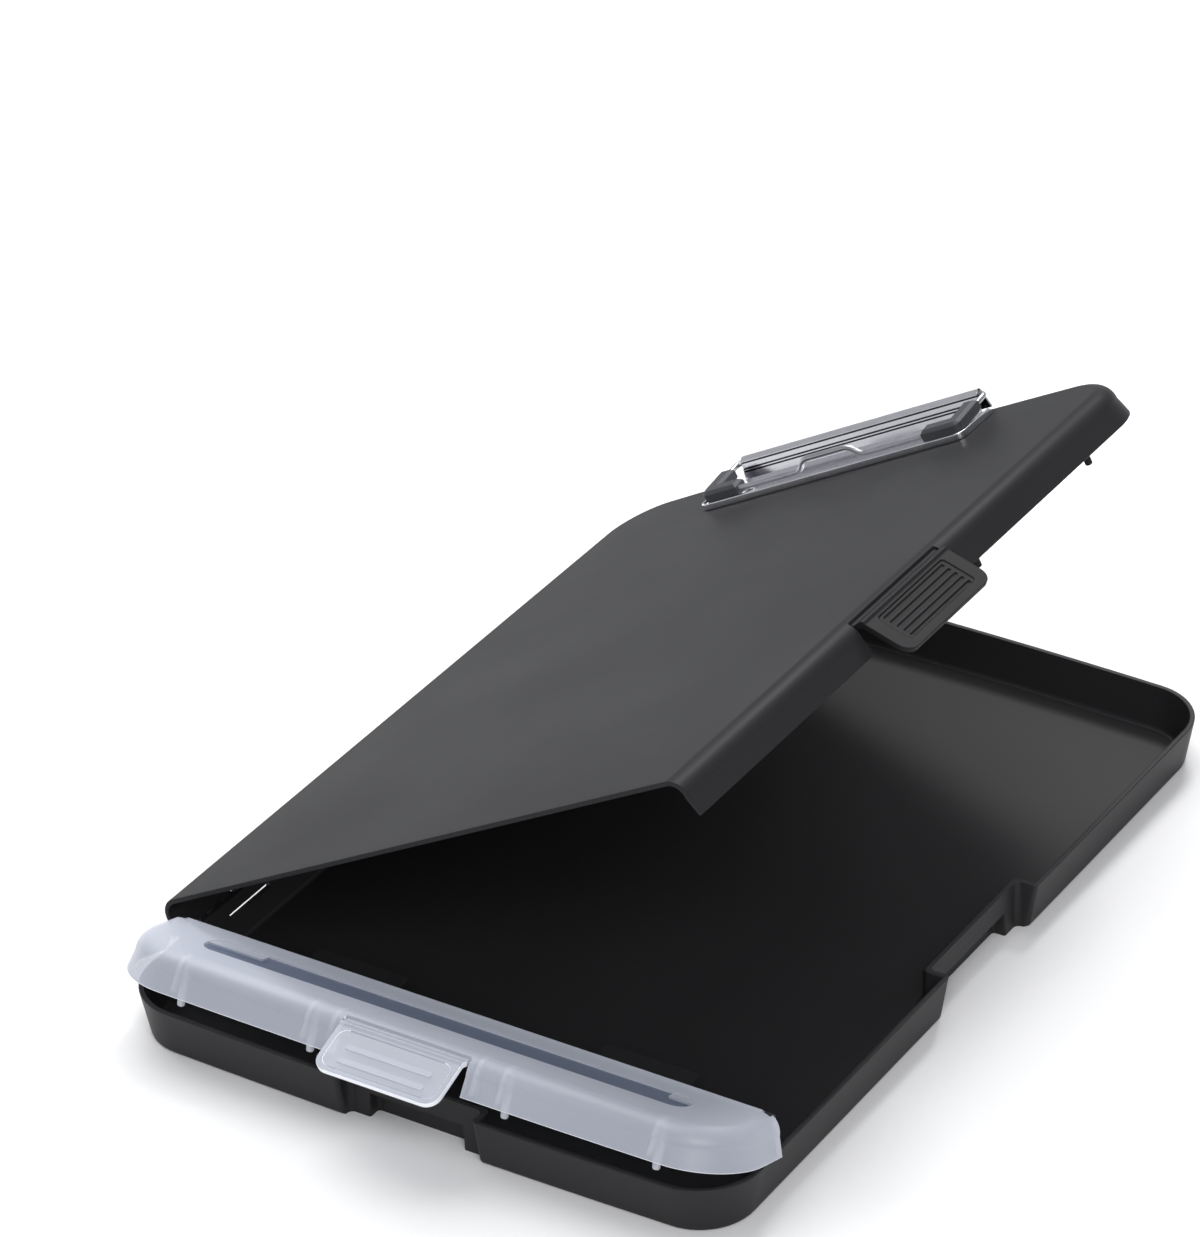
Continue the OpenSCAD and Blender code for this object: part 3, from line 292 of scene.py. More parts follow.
def bright_steel(name, colour, rough, stretch):
    """Plated or drawn steel with faint streaks along one direction, and painted dark lines on marked faces
    that stand in for shade and dark reflections in creases.
    """
    mat, n, link, shader = new_material(name)
    shader.inputs["Metallic"].default_value = 1.0
    place = n.new("ShaderNodeTexCoord")
    along = add_node(n, "ShaderNodeMapping", {"Scale": stretch})
    link(place.outputs["Object"], along.inputs["Vector"])
    noise = add_node(n, "ShaderNodeTexNoise", {"Scale": 400.0, "Detail": 3.0})
    link(along.outputs[0], noise.inputs["Vector"])
    span = add_node(n, "ShaderNodeMapRange", {"To Min": rough * 0.75, "To Max": rough * 1.25})
    link(noise.outputs["Fac"], span.inputs["Value"])
    link(span.outputs["Result"], shader.inputs["Roughness"])
    ramp = n.new("ShaderNodeValToRGB")
    for stop, position, strength in zip(ramp.color_ramp.elements, (0.2, 0.8), (0.9, 1.0)):
        stop.position = position
        stop.color = (*[c * strength for c in colour], 1)
    link(noise.outputs["Fac"], ramp.inputs["Fac"])
    # Painted shade: faces marked in the creases and along the clip housing's ridge get a near-black base
    # colour, standing in for shade and dark reflections.
    shaded_crease = add_node(n, "ShaderNodeAttribute", attribute_name="shaded_crease")
    shaded = add_node(n, "ShaderNodeMix", {"B": (0.06, 0.06, 0.07, 1)}, data_type="RGBA")
    link(shaded_crease.outputs["Fac"], shaded.inputs["Factor"])
    link(ramp.outputs["Color"], shaded.inputs["A"])
    link(shaded.outputs["Result"], shader.inputs["Base Color"])
    raised = add_node(n, "ShaderNodeBump", {"Strength": 0.05, "Distance": 0.00005})
    link(noise.outputs["Fac"], raised.inputs["Height"])
    link(raised.outputs["Normal"], shader.inputs["Normal"])
    return mat


def frosted_plastic():
    """Milky see-through plastic, more solid at a glancing angle; marked cut edges get a painted highlight and
    are more solid, and sunk faces get painted shade.
    """
    mat, n, link, shader = new_material("frosted cover plastic")
    last = add_grain(n, link, shader, (0.53, 0.56, 0.64), 0.34, 900.0, 0.05, 0.05)
    marks = {}
    # Painted shade darkens the sunk groove floor; painted highlight makes the marked cut edges pale, standing
    # in for light led through the sheet to its edges.
    for name, tint in (("sunk", (0.10, 0.13, 0.20, 1)), ("edge", (0.86, 0.88, 0.93, 1))):
        marks[name] = add_node(n, "ShaderNodeAttribute", attribute_name=name)
        mix = add_node(n, "ShaderNodeMix", {"B": tint}, data_type="RGBA")
        link(marks[name].outputs["Fac"], mix.inputs["Factor"])
        link(last, mix.inputs["A"])
        last = mix.outputs["Result"]
    link(last, shader.inputs["Base Color"])
    facing = add_node(n, "ShaderNodeLayerWeight", {"Blend": 0.4})
    solid = add_node(
        n, "ShaderNodeMapRange", {"From Min": 0.05, "From Max": 0.8, "To Min": 0.50, "To Max": 0.76})
    link(facing.outputs["Facing"], solid.inputs["Value"])
    most = add_node(n, "ShaderNodeMath", operation="MAXIMUM")
    link(solid.outputs["Result"], most.inputs[0])
    link(marks["edge"].outputs["Fac"], most.inputs[1])
    link(most.outputs[0], shader.inputs["Alpha"])
    return mat


TRAY_PLASTIC = moulded(
    "black tray plastic", (0.020, 0.020, 0.0215), 0.5, bump=0.10, Specular_IOR_Level=0.24)
LID_PLASTIC = moulded("charcoal lid plastic", (0.017, 0.017, 0.0185), 0.5, Specular_IOR_Level=0.13)
LATCH_PLASTIC = moulded("charcoal latch plastic", (0.010, 0.010, 0.011), 0.5, Specular_IOR_Level=0.14)
FROSTED = frosted_plastic()
RUBBER = moulded("black grip rubber", (0.032, 0.033, 0.040), 0.55, size=2600.0, bump=0.2)
PLATED = bright_steel("plated clip steel", (0.84, 0.84, 0.88), 0.17, (0.05, 1.0, 1.0))
WIRE = bright_steel("drawn wire steel", (0.42, 0.43, 0.45), 0.36, (0.05, 1.0, 1.0))
PIN_STEEL = bright_steel("cut pin steel", (0.55, 0.56, 0.58), 0.35, (1.0, 0.05, 1.0))

NODE_MATERIALS = {
    "base_tray": TRAY_PLASTIC, "compartment_divider": TRAY_PLASTIC, "lid": LID_PLASTIC,
    "lid_hinge_pin_upper": PIN_STEEL, "lid_hinge_pin_lower": PIN_STEEL, "lid_latch": LATCH_PLASTIC,
    "pen_cover": FROSTED, "pen_cover_pin_left": PIN_STEEL, "pen_cover_pin_right": PIN_STEEL,
    "pen_cover_latch": FROSTED, "clip_plate": PLATED, "clip_bail": WIRE,
    "clip_grip_left": RUBBER, "clip_grip_right": RUBBER,
    "clip_rivet_left": PLATED, "clip_rivet_right": PLATED,
    "rivet_washer_left": PIN_STEEL, "rivet_washer_right": PIN_STEEL,
}
for name, mat in NODE_MATERIALS.items():
    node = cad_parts[name]
    if not node.data.materials:
        node.data.materials.append(mat)
    for slot in node.material_slots:
        slot.material = mat

# Shaping helpers


def run_modifiers(bm, *steps):
    """Runs modifiers on the mesh; each step is a modifier's type and its settings."""
    mesh = bpy.data.meshes.new("work")
    bm.to_mesh(mesh)
    work = bpy.data.objects.new("work", mesh)
    scene.collection.objects.link(work)
    for kind, settings in steps:
        modifier = work.modifiers.new(kind, kind)
        for key, value in settings.items():
            setattr(modifier, key, value)
    bpy.context.view_layer.update()
    made = bpy.data.meshes.new_from_object(work.evaluated_get(bpy.context.evaluated_depsgraph_get()))
    bm.clear()
    bm.from_mesh(made)
    for old in (mesh, made):
        bpy.data.meshes.remove(old)


def combine(bm, other, operation):
    """Cuts another closed shape out of this one, or joins it on."""
    mesh = bpy.data.meshes.new("tool")
    other.to_mesh(mesh)
    other.free()
    tool = bpy.data.objects.new("tool", mesh)
    scene.collection.objects.link(tool)
    run_modifiers(bm, ("BOOLEAN", {"operation": operation, "solver": "EXACT", "object": tool}))
    bpy.data.meshes.remove(mesh)
    return bm


def add_shape(bm, other):
    """Adds a closed shape that overlaps this one, as one moulding."""
    mesh = bpy.data.meshes.new("part")
    other.to_mesh(mesh)
    other.free()
    bm.from_mesh(mesh)
    bpy.data.meshes.remove(mesh)


def rounding(width, segments=2, angle=35.0):
    return ("BEVEL", {
        "width": width, "segments": segments, "limit_method": "ANGLE", "angle_limit": math.radians(angle),
        "use_clamp_overlap": False,
    })


def thickness(t):
    return ("SOLIDIFY", {
        "thickness": t, "offset": -1.0, "use_even_offset": True, "use_quality_normals": True,
    })


def soften(bm, geom, affect, offset, segments):
    """Rounds edges or corners."""
    bmesh.ops.bevel(
        bm, geom=geom, affect=affect, offset=offset, segments=segments, profile=0.5, material=-1)


def slide(bm, made, vec):
    """Moves what an extrusion has just made."""
    bmesh.ops.translate(bm, verts=[v for v in made if isinstance(v, bmesh.types.BMVert)], vec=vec)


def block(low, high, corner=0.0, axis=2, segments=3):
    """A box between two corners; its edges along one axis may be rounded."""
    bm = bmesh.new()
    bmesh.ops.create_cube(bm, size=1.0)
    low, high = Vector(low), Vector(high)
    bmesh.ops.scale(bm, verts=bm.verts, vec=high - low)
    bmesh.ops.translate(bm, verts=bm.verts, vec=(low + high) / 2)
    if corner:
        along = [e for e in bm.edges if abs((e.verts[0].co - e.verts[1].co).normalized()[axis]) > 0.9]
        soften(bm, along, "EDGES", corner, segments)
    return bm


def rod(start, length, axis, r1, r2=None, segments=40, edge=0.0):
    """A rod or cone from a point along X, Y or Z; its ends may be rounded."""
    bm = bmesh.new()
    bmesh.ops.create_cone(
        bm, cap_ends=True, cap_tris=False, segments=segments, radius1=r1, radius2=r1 if r2 is None else r2,
        depth=length,
    )
    if edge:
        rims = [e for f in bm.faces if len(f.verts) > 4 for e in f.edges]
        soften(bm, rims, "EDGES", edge, 2)
    bmesh.ops.translate(bm, verts=bm.verts, vec=(0, 0, length / 2))
    turn = {"X": Matrix.Rotation(math.pi / 2, 4, "Y"), "Y": Matrix.Rotation(-math.pi / 2, 4, "X")}.get(axis)
    if turn:
        bmesh.ops.transform(bm, matrix=turn, verts=bm.verts)
    bmesh.ops.translate(bm, verts=bm.verts, vec=start)
    return bm


def case_face(bm, inset, z):
    """The case's outline seen from above, set in: one flat face with round corners and bowed ends."""
    made = bmesh.ops.create_grid(bm, x_segments=1, y_segments=1, size=1.0)["verts"]
    bmesh.ops.scale(bm, verts=made, vec=(HALF_W - inset, HALF_LEN - inset, 1))
    bmesh.ops.translate(bm, verts=made, vec=(0, 0, z))
    soften(bm, made, "VERTICES", CORNER_R - inset, 14)
    ends = [e for e in bm.edges if abs(e.verts[0].co.y - e.verts[1].co.y) < 1e-5 and e.calc_length() > HALF_W]
    bmesh.ops.bisect_edges(bm, edges=ends, cuts=25)
    here = list(bm.verts)
    for v in here:
        bow = FAR_BOW if v.co.y > 0 else -NEAR_BOW
        v.co.y -= bow * (v.co.x / HALF_W) ** 2
    return here[0].link_faces[0]


def stepped(bm, face, inset, z, steps):
    """Carries a face inwards and up or down over a list of insets and heights, leaving the wall behind it."""
    way = 1 if face.normal.z > 0 else -1
    for next_inset, next_z in steps:
        bmesh.ops.inset_individual(
            bm, faces=[face], thickness=next_inset - inset, depth=way * (next_z - z), use_even_offset=True
        )
        inset, z = next_inset, next_z


def quarter_roll(inset, z, width, height, steps):
    """Insets and heights of a quarter-round edge."""
    turns = [math.pi / 2 * k / steps for k in range(1, steps + 1)]
    return [(inset + width * (1 - math.cos(turn)), z + height * math.sin(turn)) for turn in turns]


def keep_side(bm, point, normal):
    """Keeps what lies on a plane's positive side."""
    everything = list(bm.verts) + list(bm.edges) + list(bm.faces)
    bmesh.ops.bisect_plane(bm, geom=everything, plane_co=point, plane_no=normal, clear_inner=True)


def knuckles(spans):
    """Spans of knuckles at both hinges; the lower hinge mirrors the upper one."""
    return [(UPPER_HINGE_Y + a, UPPER_HINGE_Y + b) for a, b in spans] + [
        (LOWER_HINGE_Y - b, LOWER_HINGE_Y - a) for a, b in spans
    ]


def piece(bm, name, node, body, mat, pose=None, smooth_angle=32.0):
    """The finished piece: in its place, in metres, in place of its solid."""
    matrix = Matrix.Scale(MM, 4) @ (pose or Matrix.Identity(4))
    bmesh.ops.transform(bm, matrix=matrix, verts=bm.verts)
    bmesh.ops.remove_doubles(bm, verts=bm.verts, dist=1e-7)
    mesh = bpy.data.meshes.new(name)
    bm.to_mesh(mesh)
    bm.free()
    mesh.materials.append(mat)
    for polygon in mesh.polygons:
        polygon.use_smooth = True
        polygon.material_index = 0
    mesh.set_sharp_from_angle(angle=math.radians(smooth_angle))
    made = bpy.data.objects.new(name, mesh)
    scene.collection.objects.link(made)
    weigh = made.modifiers.new("flat faces stay flat", "WEIGHTED_NORMAL")
    weigh.keep_sharp = True
    bpy.context.view_layer.update()
    made.data = bpy.data.meshes.new_from_object(made.evaluated_get(bpy.context.evaluated_depsgraph_get()))
    made.data.name = name
    made.modifiers.clear()
    bpy.data.meshes.remove(mesh)
    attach(made, body)
    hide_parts(*([node] if isinstance(node, str) else node))


# Lid


def shell(keep_lid):
    """The thin outer skin that the lid and the pen cover are cut from."""
    bm = bmesh.new()
    face = case_face(bm, 0.0, SKIRT_Z)
    roll_z = CLOSED_H - ROLL_H
    roll = quarter_roll(SKIRT_LEAN, roll_z, ROLL_W, ROLL_H, 12)
    stepped(bm, face, 0.0, SKIRT_Z, [(SKIRT_LEAN, roll_z)] + roll)
    bmesh.ops.recalc_face_normals(bm, faces=bm.faces)
    if keep_lid:
        keep_side(bm, (0, LID_EDGE_Y, 0), (0, 1, 0))
    else:
        keep_side(bm, (0, ROOF_EDGE_Y, 0), (0, -1, 0))
    return bm


def peg(x, y):
    """A tapered peg that hangs from the roof."""
    length = CLOSED_H - ROOF_T + PEG_IN_ROOF - PEG_TIP_Z
    return rod((x, y, PEG_TIP_Z), length, "Z", PEG_TIP_R, PEG_ROOT_R, 24, 0.7)


def make_lid():
    bm = shell(True)
    half = LID_LATCH_W / 2 + LATCH_END_GAP
    run_modifiers(bm, thickness(SKIN_T))
    for low, high in knuckles(TRAY_KNUCKLES):
        room = rod(
            (HINGE_X, low - KNUCKLE_GAP, HINGE_Z), high - low + 2 * KNUCKLE_GAP, "Y", KNUCKLE_R + KNUCKLE_GAP)
        combine(bm, room, "DIFFERENCE")
    run_modifiers(bm, rounding(0.35))
    notch = block((LATCH_X - 0.3, LID_LATCH_Y - half, 0), (CASE_W, LID_LATCH_Y + half, CLOSED_H + 1), 0.8)
    combine(bm, notch, "DIFFERENCE")
    for low, high in knuckles(LID_KNUCKLES):
        add_shape(bm, rod((HINGE_X, low, HINGE_Z), high - low, "Y", KNUCKLE_R, edge=0.3))
        web = block((HINGE_X, low + 0.1, HINGE_Z), (SKIRT_T - HALF_W, high - 0.1, SKIRT_Z + 2), 0.4, 1)
        add_shape(bm, web)
    peg_x, rib_x = TRAY_HALF_W - WALL_T - 0.8 - PEG_ROOT_R, HALF_W - SKIRT_LEAN - 0.1
    for y in LID_PEGS:
        add_shape(bm, peg(peg_x, y))
        add_shape(bm, block(
            (peg_x, y - PEG_RIB_T / 2, GUSSET_LOW_Z), (rib_x, y + PEG_RIB_T / 2, CLOSED_H - ROLL_H), 0.2))
    for y in (LID_LATCH_Y + half, LID_LATCH_Y - half - LID_SOCKET_LEN):
        add_shape(bm, rod((LATCH_X, y, LATCH_Z), LID_SOCKET_LEN, "Y", SOCKET_R, edge=0.2))
    piece(bm, "lid_moulding", "lid", "lid", LID_PLASTIC, LID_POSE)


make_lid()

# Base tray


def recess_shapes(latch_w, depth, skin, place):
    """The recess for a latch and its finger scoop; with a skin, the bulge they make inside the tray."""
    half = latch_w / 2 + RECESS_SIDE + skin
    low_z = FLOOR_T / 2 if skin else -1
    shapes = []
    for reach, wide, corner, top_z in (
        (depth + skin, half, RECESS_CORNER, TRAY_H - 0.01 if skin else TRAY_H + 3),
        (depth + skin + SCOOP_DEPTH, half - SCOOP_END, SCOOP_CORNER, SCOOP_H + skin),
    ):
        bm = block((-reach, -wide, low_z), (8, wide, top_z), corner, 2, 5)
        if skin:
            keep_side(bm, (-skin / 2, 0, TRAY_H), (-1, 0, WALL_LEAN))
            bmesh.ops.holes_fill(bm, edges=bm.edges)
            top = [e for e in bm.edges if min(v.co.z for v in e.verts) > top_z - 1e-4
                   and min(v.co.x for v in e.verts) < -skin]
            soften(bm, top, "EDGES", RIM_ROUND, 3)
        bmesh.ops.transform(bm, matrix=place, verts=bm.verts)
        shapes.append(bm)
    return shapes


def soften_recess(bm, latch_w, depth, place):
    """Rounds the upright edges at the mouth of a recess and of its scoop."""
    half = latch_w / 2 + RECESS_SIDE
    to_local = place.inverted()
    for wide, nearest, radius in (
            (half, -depth + RECESS_CORNER + 0.3, RECESS_MOUTH_R), (half - SCOOP_END, None, SCOOP_MOUTH_R)):
        upright = []
        for e in bm.edges:
            a, b = (to_local @ v.co for v in e.verts)
            if abs(a.z - b.z) < 0.02 or max(abs(abs(a.y) - wide), abs(abs(b.y) - wide)) > 0.01:
                continue
            if nearest is None:
                at_mouth = max(abs(a.x + depth), abs(b.x + depth)) < 0.01 and max(a.z, b.z) < SCOOP_H + 0.1
            else:
                at_mouth = min(a.x, b.x) > nearest
            if at_mouth:
                upright.append(e)
        soften(bm, upright, "EDGES", radius, 5)


def make_tray():
    foot, edge_z = TRAY_IN + DRAFT, TRAY_H - RIM_ROUND
    outer = bmesh.new()
    under = case_face(outer, TRAY_IN, edge_z)
    bmesh.ops.reverse_faces(outer, faces=[under])
    stepped(outer, under, TRAY_IN, edge_z, [
        (foot - 0.14, FOOT_BEVEL_H + 0.8), (foot + 0.15, 0.75), (foot + 0.6, 0.25),
        (foot + FOOT_BEVEL_W, 0.0)])
    bm = bmesh.new()
    rim = case_face(bm, TRAY_IN, edge_z)
    inner = TRAY_IN + WALL_T
    low = inner + WALL_LEAN * (TRAY_H - FLOOR_T)
    rolled = quarter_roll(TRAY_IN, edge_z, RIM_ROUND, RIM_ROUND, 3)
    stepped(bm, rim, TRAY_IN, edge_z, rolled + [
        (inner - RIM_ROUND, TRAY_H), (inner - RIM_ROUND * 0.3, TRAY_H - RIM_ROUND * 0.3), (inner, edge_z),
        (low - WALL_LEAN * 1.4, FLOOR_T + 1.4), (low + 0.1, FLOOR_T + 0.7), (low + 0.6, FLOOR_T + 0.2),
        (low + 1.4, FLOOR_T)])
    add_shape(bm, outer)
    bmesh.ops.remove_doubles(bm, verts=bm.verts, dist=1e-4)
    side = Matrix.Translation((TRAY_HALF_W, LID_LATCH_Y, 0))
    front = Matrix.Translation((COVER_LATCH_X, -TRAY_HALF_LEN, 0)) @ Matrix.Rotation(-math.pi / 2, 4, "Z")
    for latch_w, depth, place in ((LID_LATCH_W, SIDE_RECESS, side), (COVER_LATCH_W, FRONT_RECESS, front)):
        for shape in recess_shapes(latch_w, depth, WALL_T, place):
            combine(bm, shape, "UNION")
        for shape in recess_shapes(latch_w, depth, 0, place):
            combine(bm, shape, "DIFFERENCE")
        soften_recess(bm, latch_w, depth, place)
    for low, high in knuckles([WINDOW_SPAN]):
        window = block((-TRAY_HALF_W - 1, low, WINDOW_Z[0]), (-TRAY_HALF_W + 5, high, WINDOW_Z[1]))
        combine(bm, window, "DIFFERENCE")
    for low, high in knuckles(TRAY_KNUCKLES):
        add_shape(bm, rod((HINGE_X, low, HINGE_Z), high - low, "Y", KNUCKLE_R, edge=0.3))
        add_shape(bm, block(
            (HINGE_X, low + 0.1, HINGE_Z - KNUCKLE_R * 0.6),
            (KNUCKLE_ROOT - TRAY_HALF_W, high - 0.1, HINGE_Z + KNUCKLE_R * 0.7), 0.4, 1))
    for sign in (-1, 1):
        ear_x = (EAR_OUT_X - EAR_T) if sign > 0 else -EAR_OUT_X
        add_shape(bm, rod((ear_x, COVER_AXIS_Y, COVER_AXIS_Z), EAR_T, "X", EAR_R, edge=0.3))
        add_shape(bm, block(
            (ear_x, COVER_AXIS_Y - EAR_R + 0.1, FLOOR_T / 2),
            (ear_x + EAR_T, COVER_AXIS_Y + EAR_R - 0.1, COVER_AXIS_Z), 0.4, 2))
        for offset in GUIDE_Y:
            y, xs = DIVIDER_Y + offset, sorted(sign * x for x in GUIDE_X)
            add_shape(bm, block((xs[0], y, FLOOR_T / 2), (xs[1], y + GUIDE_T, FLOOR_T + GUIDE_H), 0.3, 2))
    piece(bm, "tray_moulding", "base_tray", "tray", TRAY_PLASTIC)


make_tray()

# Compartment divider


def make_divider():
    low = Vector((-DIVIDER_HALF, DIVIDER_Y, FLOOR_T))
    high = Vector((DIVIDER_HALF, DIVIDER_Y + DIVIDER_T, DIVIDER_TOP_Z))
    bm = block(low, high)
    for sign in (-1, 1):
        tab = block(
            (sign * TAB_X - TAB_W / 2, DIVIDER_Y + 0.4, high.z - TAB_T),
            (sign * TAB_X + TAB_W / 2, high.y + TAB_OUT, high.z), 1.2)
        combine(bm, tab, "UNION")
    run_modifiers(bm, rounding(0.25))
    piece(bm, "divider_strip", "compartment_divider", "tray", TRAY_PLASTIC)


make_divider()

# Pen cover


def paint(bm, name, rule, amount=1.0):
    """Marks the faces that a rule picks, where the material paints a highlight or shade."""
    layer = bm.faces.layers.float.get(name) or bm.faces.layers.float.new(name)
    for face in bm.faces:
        if rule(face):
            face[layer] = amount


def cover_peg_y(x):
    return WALL_T + 1.4 + PEG_ROOT_R - TRAY_HALF_LEN + NEAR_BOW * (x / HALF_W) ** 2


def gusset(x):
    """A thin crescent rib that follows the inside of the front wall and its roll."""
    bm = block(
        (x - GUSSET_T / 2, -HALF_LEN - 1, GUSSET_LOW_Z), (x + GUSSET_T / 2, GUSSET_END_Y, CLOSED_H - 1.0))
    form = bmesh.new()
    face = case_face(form, GUSSET_IN, SKIRT_Z)
    roll_z, lean = CLOSED_H - ROLL_H, SKIRT_LEAN + GUSSET_IN
    roll = quarter_roll(lean, roll_z, ROLL_W, ROLL_H - GUSSET_UNDER, 8)
    stepped(form, face, GUSSET_IN, SKIRT_Z, [(lean, roll_z)] + roll)
    bmesh.ops.holes_fill(form, edges=form.edges)
    bmesh.ops.recalc_face_normals(form, faces=form.faces)
    combine(bm, form, "INTERSECT")
    centre_y = SKIRT_LEAN + ROLL_W - HALF_LEN + NEAR_BOW * (x / HALF_W) ** 2
    inner_r = ROLL_W - GUSSET_DEEP
    combine(bm, rod((x - GUSSET_T, centre_y, roll_z), 2 * GUSSET_T, "X", inner_r), "DIFFERENCE")
    for corner, top in ((centre_y - inner_r, roll_z), (centre_y, roll_z + inner_r)):
        combine(bm, block((x - GUSSET_T, corner, 0), (x + GUSSET_T, 0, top)), "DIFFERENCE")
    return bm


def groove_block(margin, low_z, high_z):
    """The long round-ended groove in the cover's roof, or with a margin a slightly larger block."""
    wide = GROOVE_W / 2 + margin
    return block(
        (-GROOVE_LEN / 2 - margin, GROOVE_Y - wide, low_z),
        (GROOVE_LEN / 2 + margin, GROOVE_Y + wide, high_z), wide - 0.1, 2, 10)


def make_cover():
    bm = shell(False)
    half = COVER_LATCH_W / 2 + LATCH_END_GAP
    left, right = COVER_LATCH_X - half, COVER_LATCH_X + half
    run_modifiers(bm, thickness(SKIN_T))
    floor_z = CLOSED_H - GROOVE_DEPTH
    combine(bm, groove_block(0.0, floor_z, CLOSED_H + 1), "DIFFERENCE")
    run_modifiers(bm, rounding(0.15))
    combine(bm, block((left, -CASE_LEN, 0), (right, LATCH_Y + 0.3, CLOSED_H + 1), 0.8), "DIFFERENCE")
    for sign in (-1, 1):
        xs = sorted((sign * (BEAD_HALF + 0.1), sign * (EAR_OUT_X + 0.4)))
        slot = block(
            (xs[0], COVER_AXIS_Y - EAR_R - 0.8, COVER_AXIS_Z - 6),
            (xs[1], COVER_AXIS_Y + EAR_R, CLOSED_H + 1), 0.5)
        combine(bm, slot, "DIFFERENCE")
    # Painted shade: the groove's floor is marked to be painted dark.
    paint(bm, "sunk", lambda f: f.normal.z > 0.9 and abs(f.calc_center_median().z - floor_z) < 0.05)
    for low_x, high_x in ((-GROOVE_LEN, LEDGES_FROM[0]), (LEDGES_FROM[1], GROOVE_LEN)):
        ledge = groove_block(0.05, floor_z - 0.3, CLOSED_H - LEDGE_LOW)
        back = block((low_x, GROOVE_Y + LEDGE_IN, 0), (high_x, GROOVE_Y + GROOVE_W, CLOSED_H + 1), 0.8)
        add_shape(bm, combine(ledge, back, "INTERSECT"))
    # Painted highlight: the skirt's cut edge, the window's sides and the roof's edge by the bead are marked
    # to be painted pale and made more solid, standing in for light led through the sheet.
    paint(bm, "edge", lambda f: f.calc_center_median().z < SKIRT_Z + 0.35)
    paint(bm, "edge", lambda f: abs(f.normal.x) > 0.7 and f.calc_center_median().y < LATCH_Y + 1
          and abs(abs(f.calc_center_median().x - COVER_LATCH_X) - half) < 0.4)
    paint(bm, "edge", lambda f: f.normal.y > 0.3 and f.calc_center_median().y > ROOF_EDGE_Y - 0.4)
    add_shape(bm, rod((-BEAD_HALF, COVER_AXIS_Y, COVER_AXIS_Z), 2 * BEAD_HALF, "X", BEAD_R, edge=0.3))
    ribs = [gusset(x) for x in (*COVER_PEGS, left - WINDOW_GUSSET_OUT, right + WINDOW_GUSSET_OUT)]
    for shape in ribs + [peg(x, cover_peg_y(x)) for x in COVER_PEGS]:
        # Painted highlight: the ribs and pegs are marked partly pale, so they show brighter through the
        # cover.
        paint(shape, "edge", lambda f: True, 0.6)
        add_shape(bm, shape)
    for x in (left - COVER_SOCKET_LEN, right):
        add_shape(bm, rod((x, LATCH_Y, LATCH_Z), COVER_SOCKET_LEN, "X", SOCKET_R, edge=0.2))
    piece(bm, "cover_moulding", "pen_cover", "pen_cover", FROSTED, COVER_POSE)


make_cover()

# Latches


def bar_along_y(points, length, rounded=(), radius=0.5):
    """A bar centred along Y with a section in the XZ plane; some corners of the section are rounded."""
    bm = bmesh.new()
    corners = [bm.verts.new((x, -length / 2, z)) for x, z in points]
    bm.faces.new(corners)
    if rounded:
        soften(bm, [corners[k] for k in rounded], "VERTICES", radius, 4)
    slide(bm, bmesh.ops.extrude_face_region(bm, geom=list(bm.faces))["geom"], (0, length, 0))
    bmesh.ops.holes_fill(bm, edges=bm.edges)
    bmesh.ops.recalc_face_normals(bm, faces=bm.faces)
    return bm


def latch_plate(w, rise):
    """A latch's bent plate, with its axis along Y at the origin and the plate along X."""
    neck = LATCH_ROOT_R * 0.9
    bm = bar_along_y([
        (0, neck), (1.7, rise), (2.6, rise + 0.5), (3.6, rise), (LATCH_LEN, rise),
        (LATCH_LEN, rise - LATCH_T), (3.4, rise - LATCH_T), (LATCH_ROOT_R, 0), (0, -neck),
    ], w, (1, 2, 3, 6), 0.45)
    ends = [e for e in bm.edges if min(v.co.x for v in e.verts) > LATCH_LEN - 0.01
            and abs(e.verts[0].co.y - e.verts[1].co.y) < 0.01]
    soften(bm, ends, "EDGES", LATCH_CORNER_R, 8)
    return bm


def add_catch(bm, w, rise, recess, lean):
    """The pins at a latch's root and the catch on its inner face."""
    inward = recess + TRAY_IN - LATCH_IN + CATCH_REACH
    drop = LATCH_Z - SCOOP_H + LATCH_GAP
    u = drop * math.cos(lean) + inward * math.sin(lean)
    v = drop * math.sin(lean) - inward * math.cos(lean)
    add_shape(bm, rod((0, -w / 2, 0), w, "Y", LATCH_ROOT_R, edge=0.2))
    add_shape(bm, rod((0, -w / 2 - LATCH_PIN_LEN, 0), w + 2 * LATCH_PIN_LEN, "Y", LATCH_PIN_R, segments=24))
    catch = block((u, -w / 2 + SCOOP_END, v), (u + CATCH_T, w / 2 - SCOOP_END, rise - LATCH_T / 2), 0.3, 1)
    add_shape(bm, catch)


def make_lid_latch():
    w, rise = LID_LATCH_W, LID_LATCH_RISE
    bm = latch_plate(w, rise)
    panel = block(
        (PANEL_FROM, PANEL_IN - w / 2, rise - PANEL_DEEP), (LATCH_LEN - PANEL_TO, w / 2 - PANEL_IN, rise + 1),
        1.4, 2, 4)
    combine(bm, panel, "DIFFERENCE")
    run_modifiers(bm, rounding(0.3, 3))
    for k in range(FINGER_GROOVES):
        length, along = w - 2 * FINGER_GROOVE_IN, FINGER_GROOVE_FROM + FINGER_GROOVE_PITCH * k
        groove = rod((0, FINGER_GROOVE_IN - w / 2, 0), length, "Y", FINGER_GROOVE_R, segments=16, edge=0.4)
        bmesh.ops.scale(groove, vec=(1.3, 1, 1), verts=groove.verts)
        bmesh.ops.translate(groove, vec=(along, 0, rise - 0.35), verts=groove.verts)
        combine(bm, groove, "DIFFERENCE")
    add_catch(bm, w, rise, SIDE_RECESS, LID_LATCH_LEAN)
    piece(
        bm, "lid_latch_plate", "lid_latch", "lid_latch", LATCH_PLASTIC, LID_LATCH_POSE)


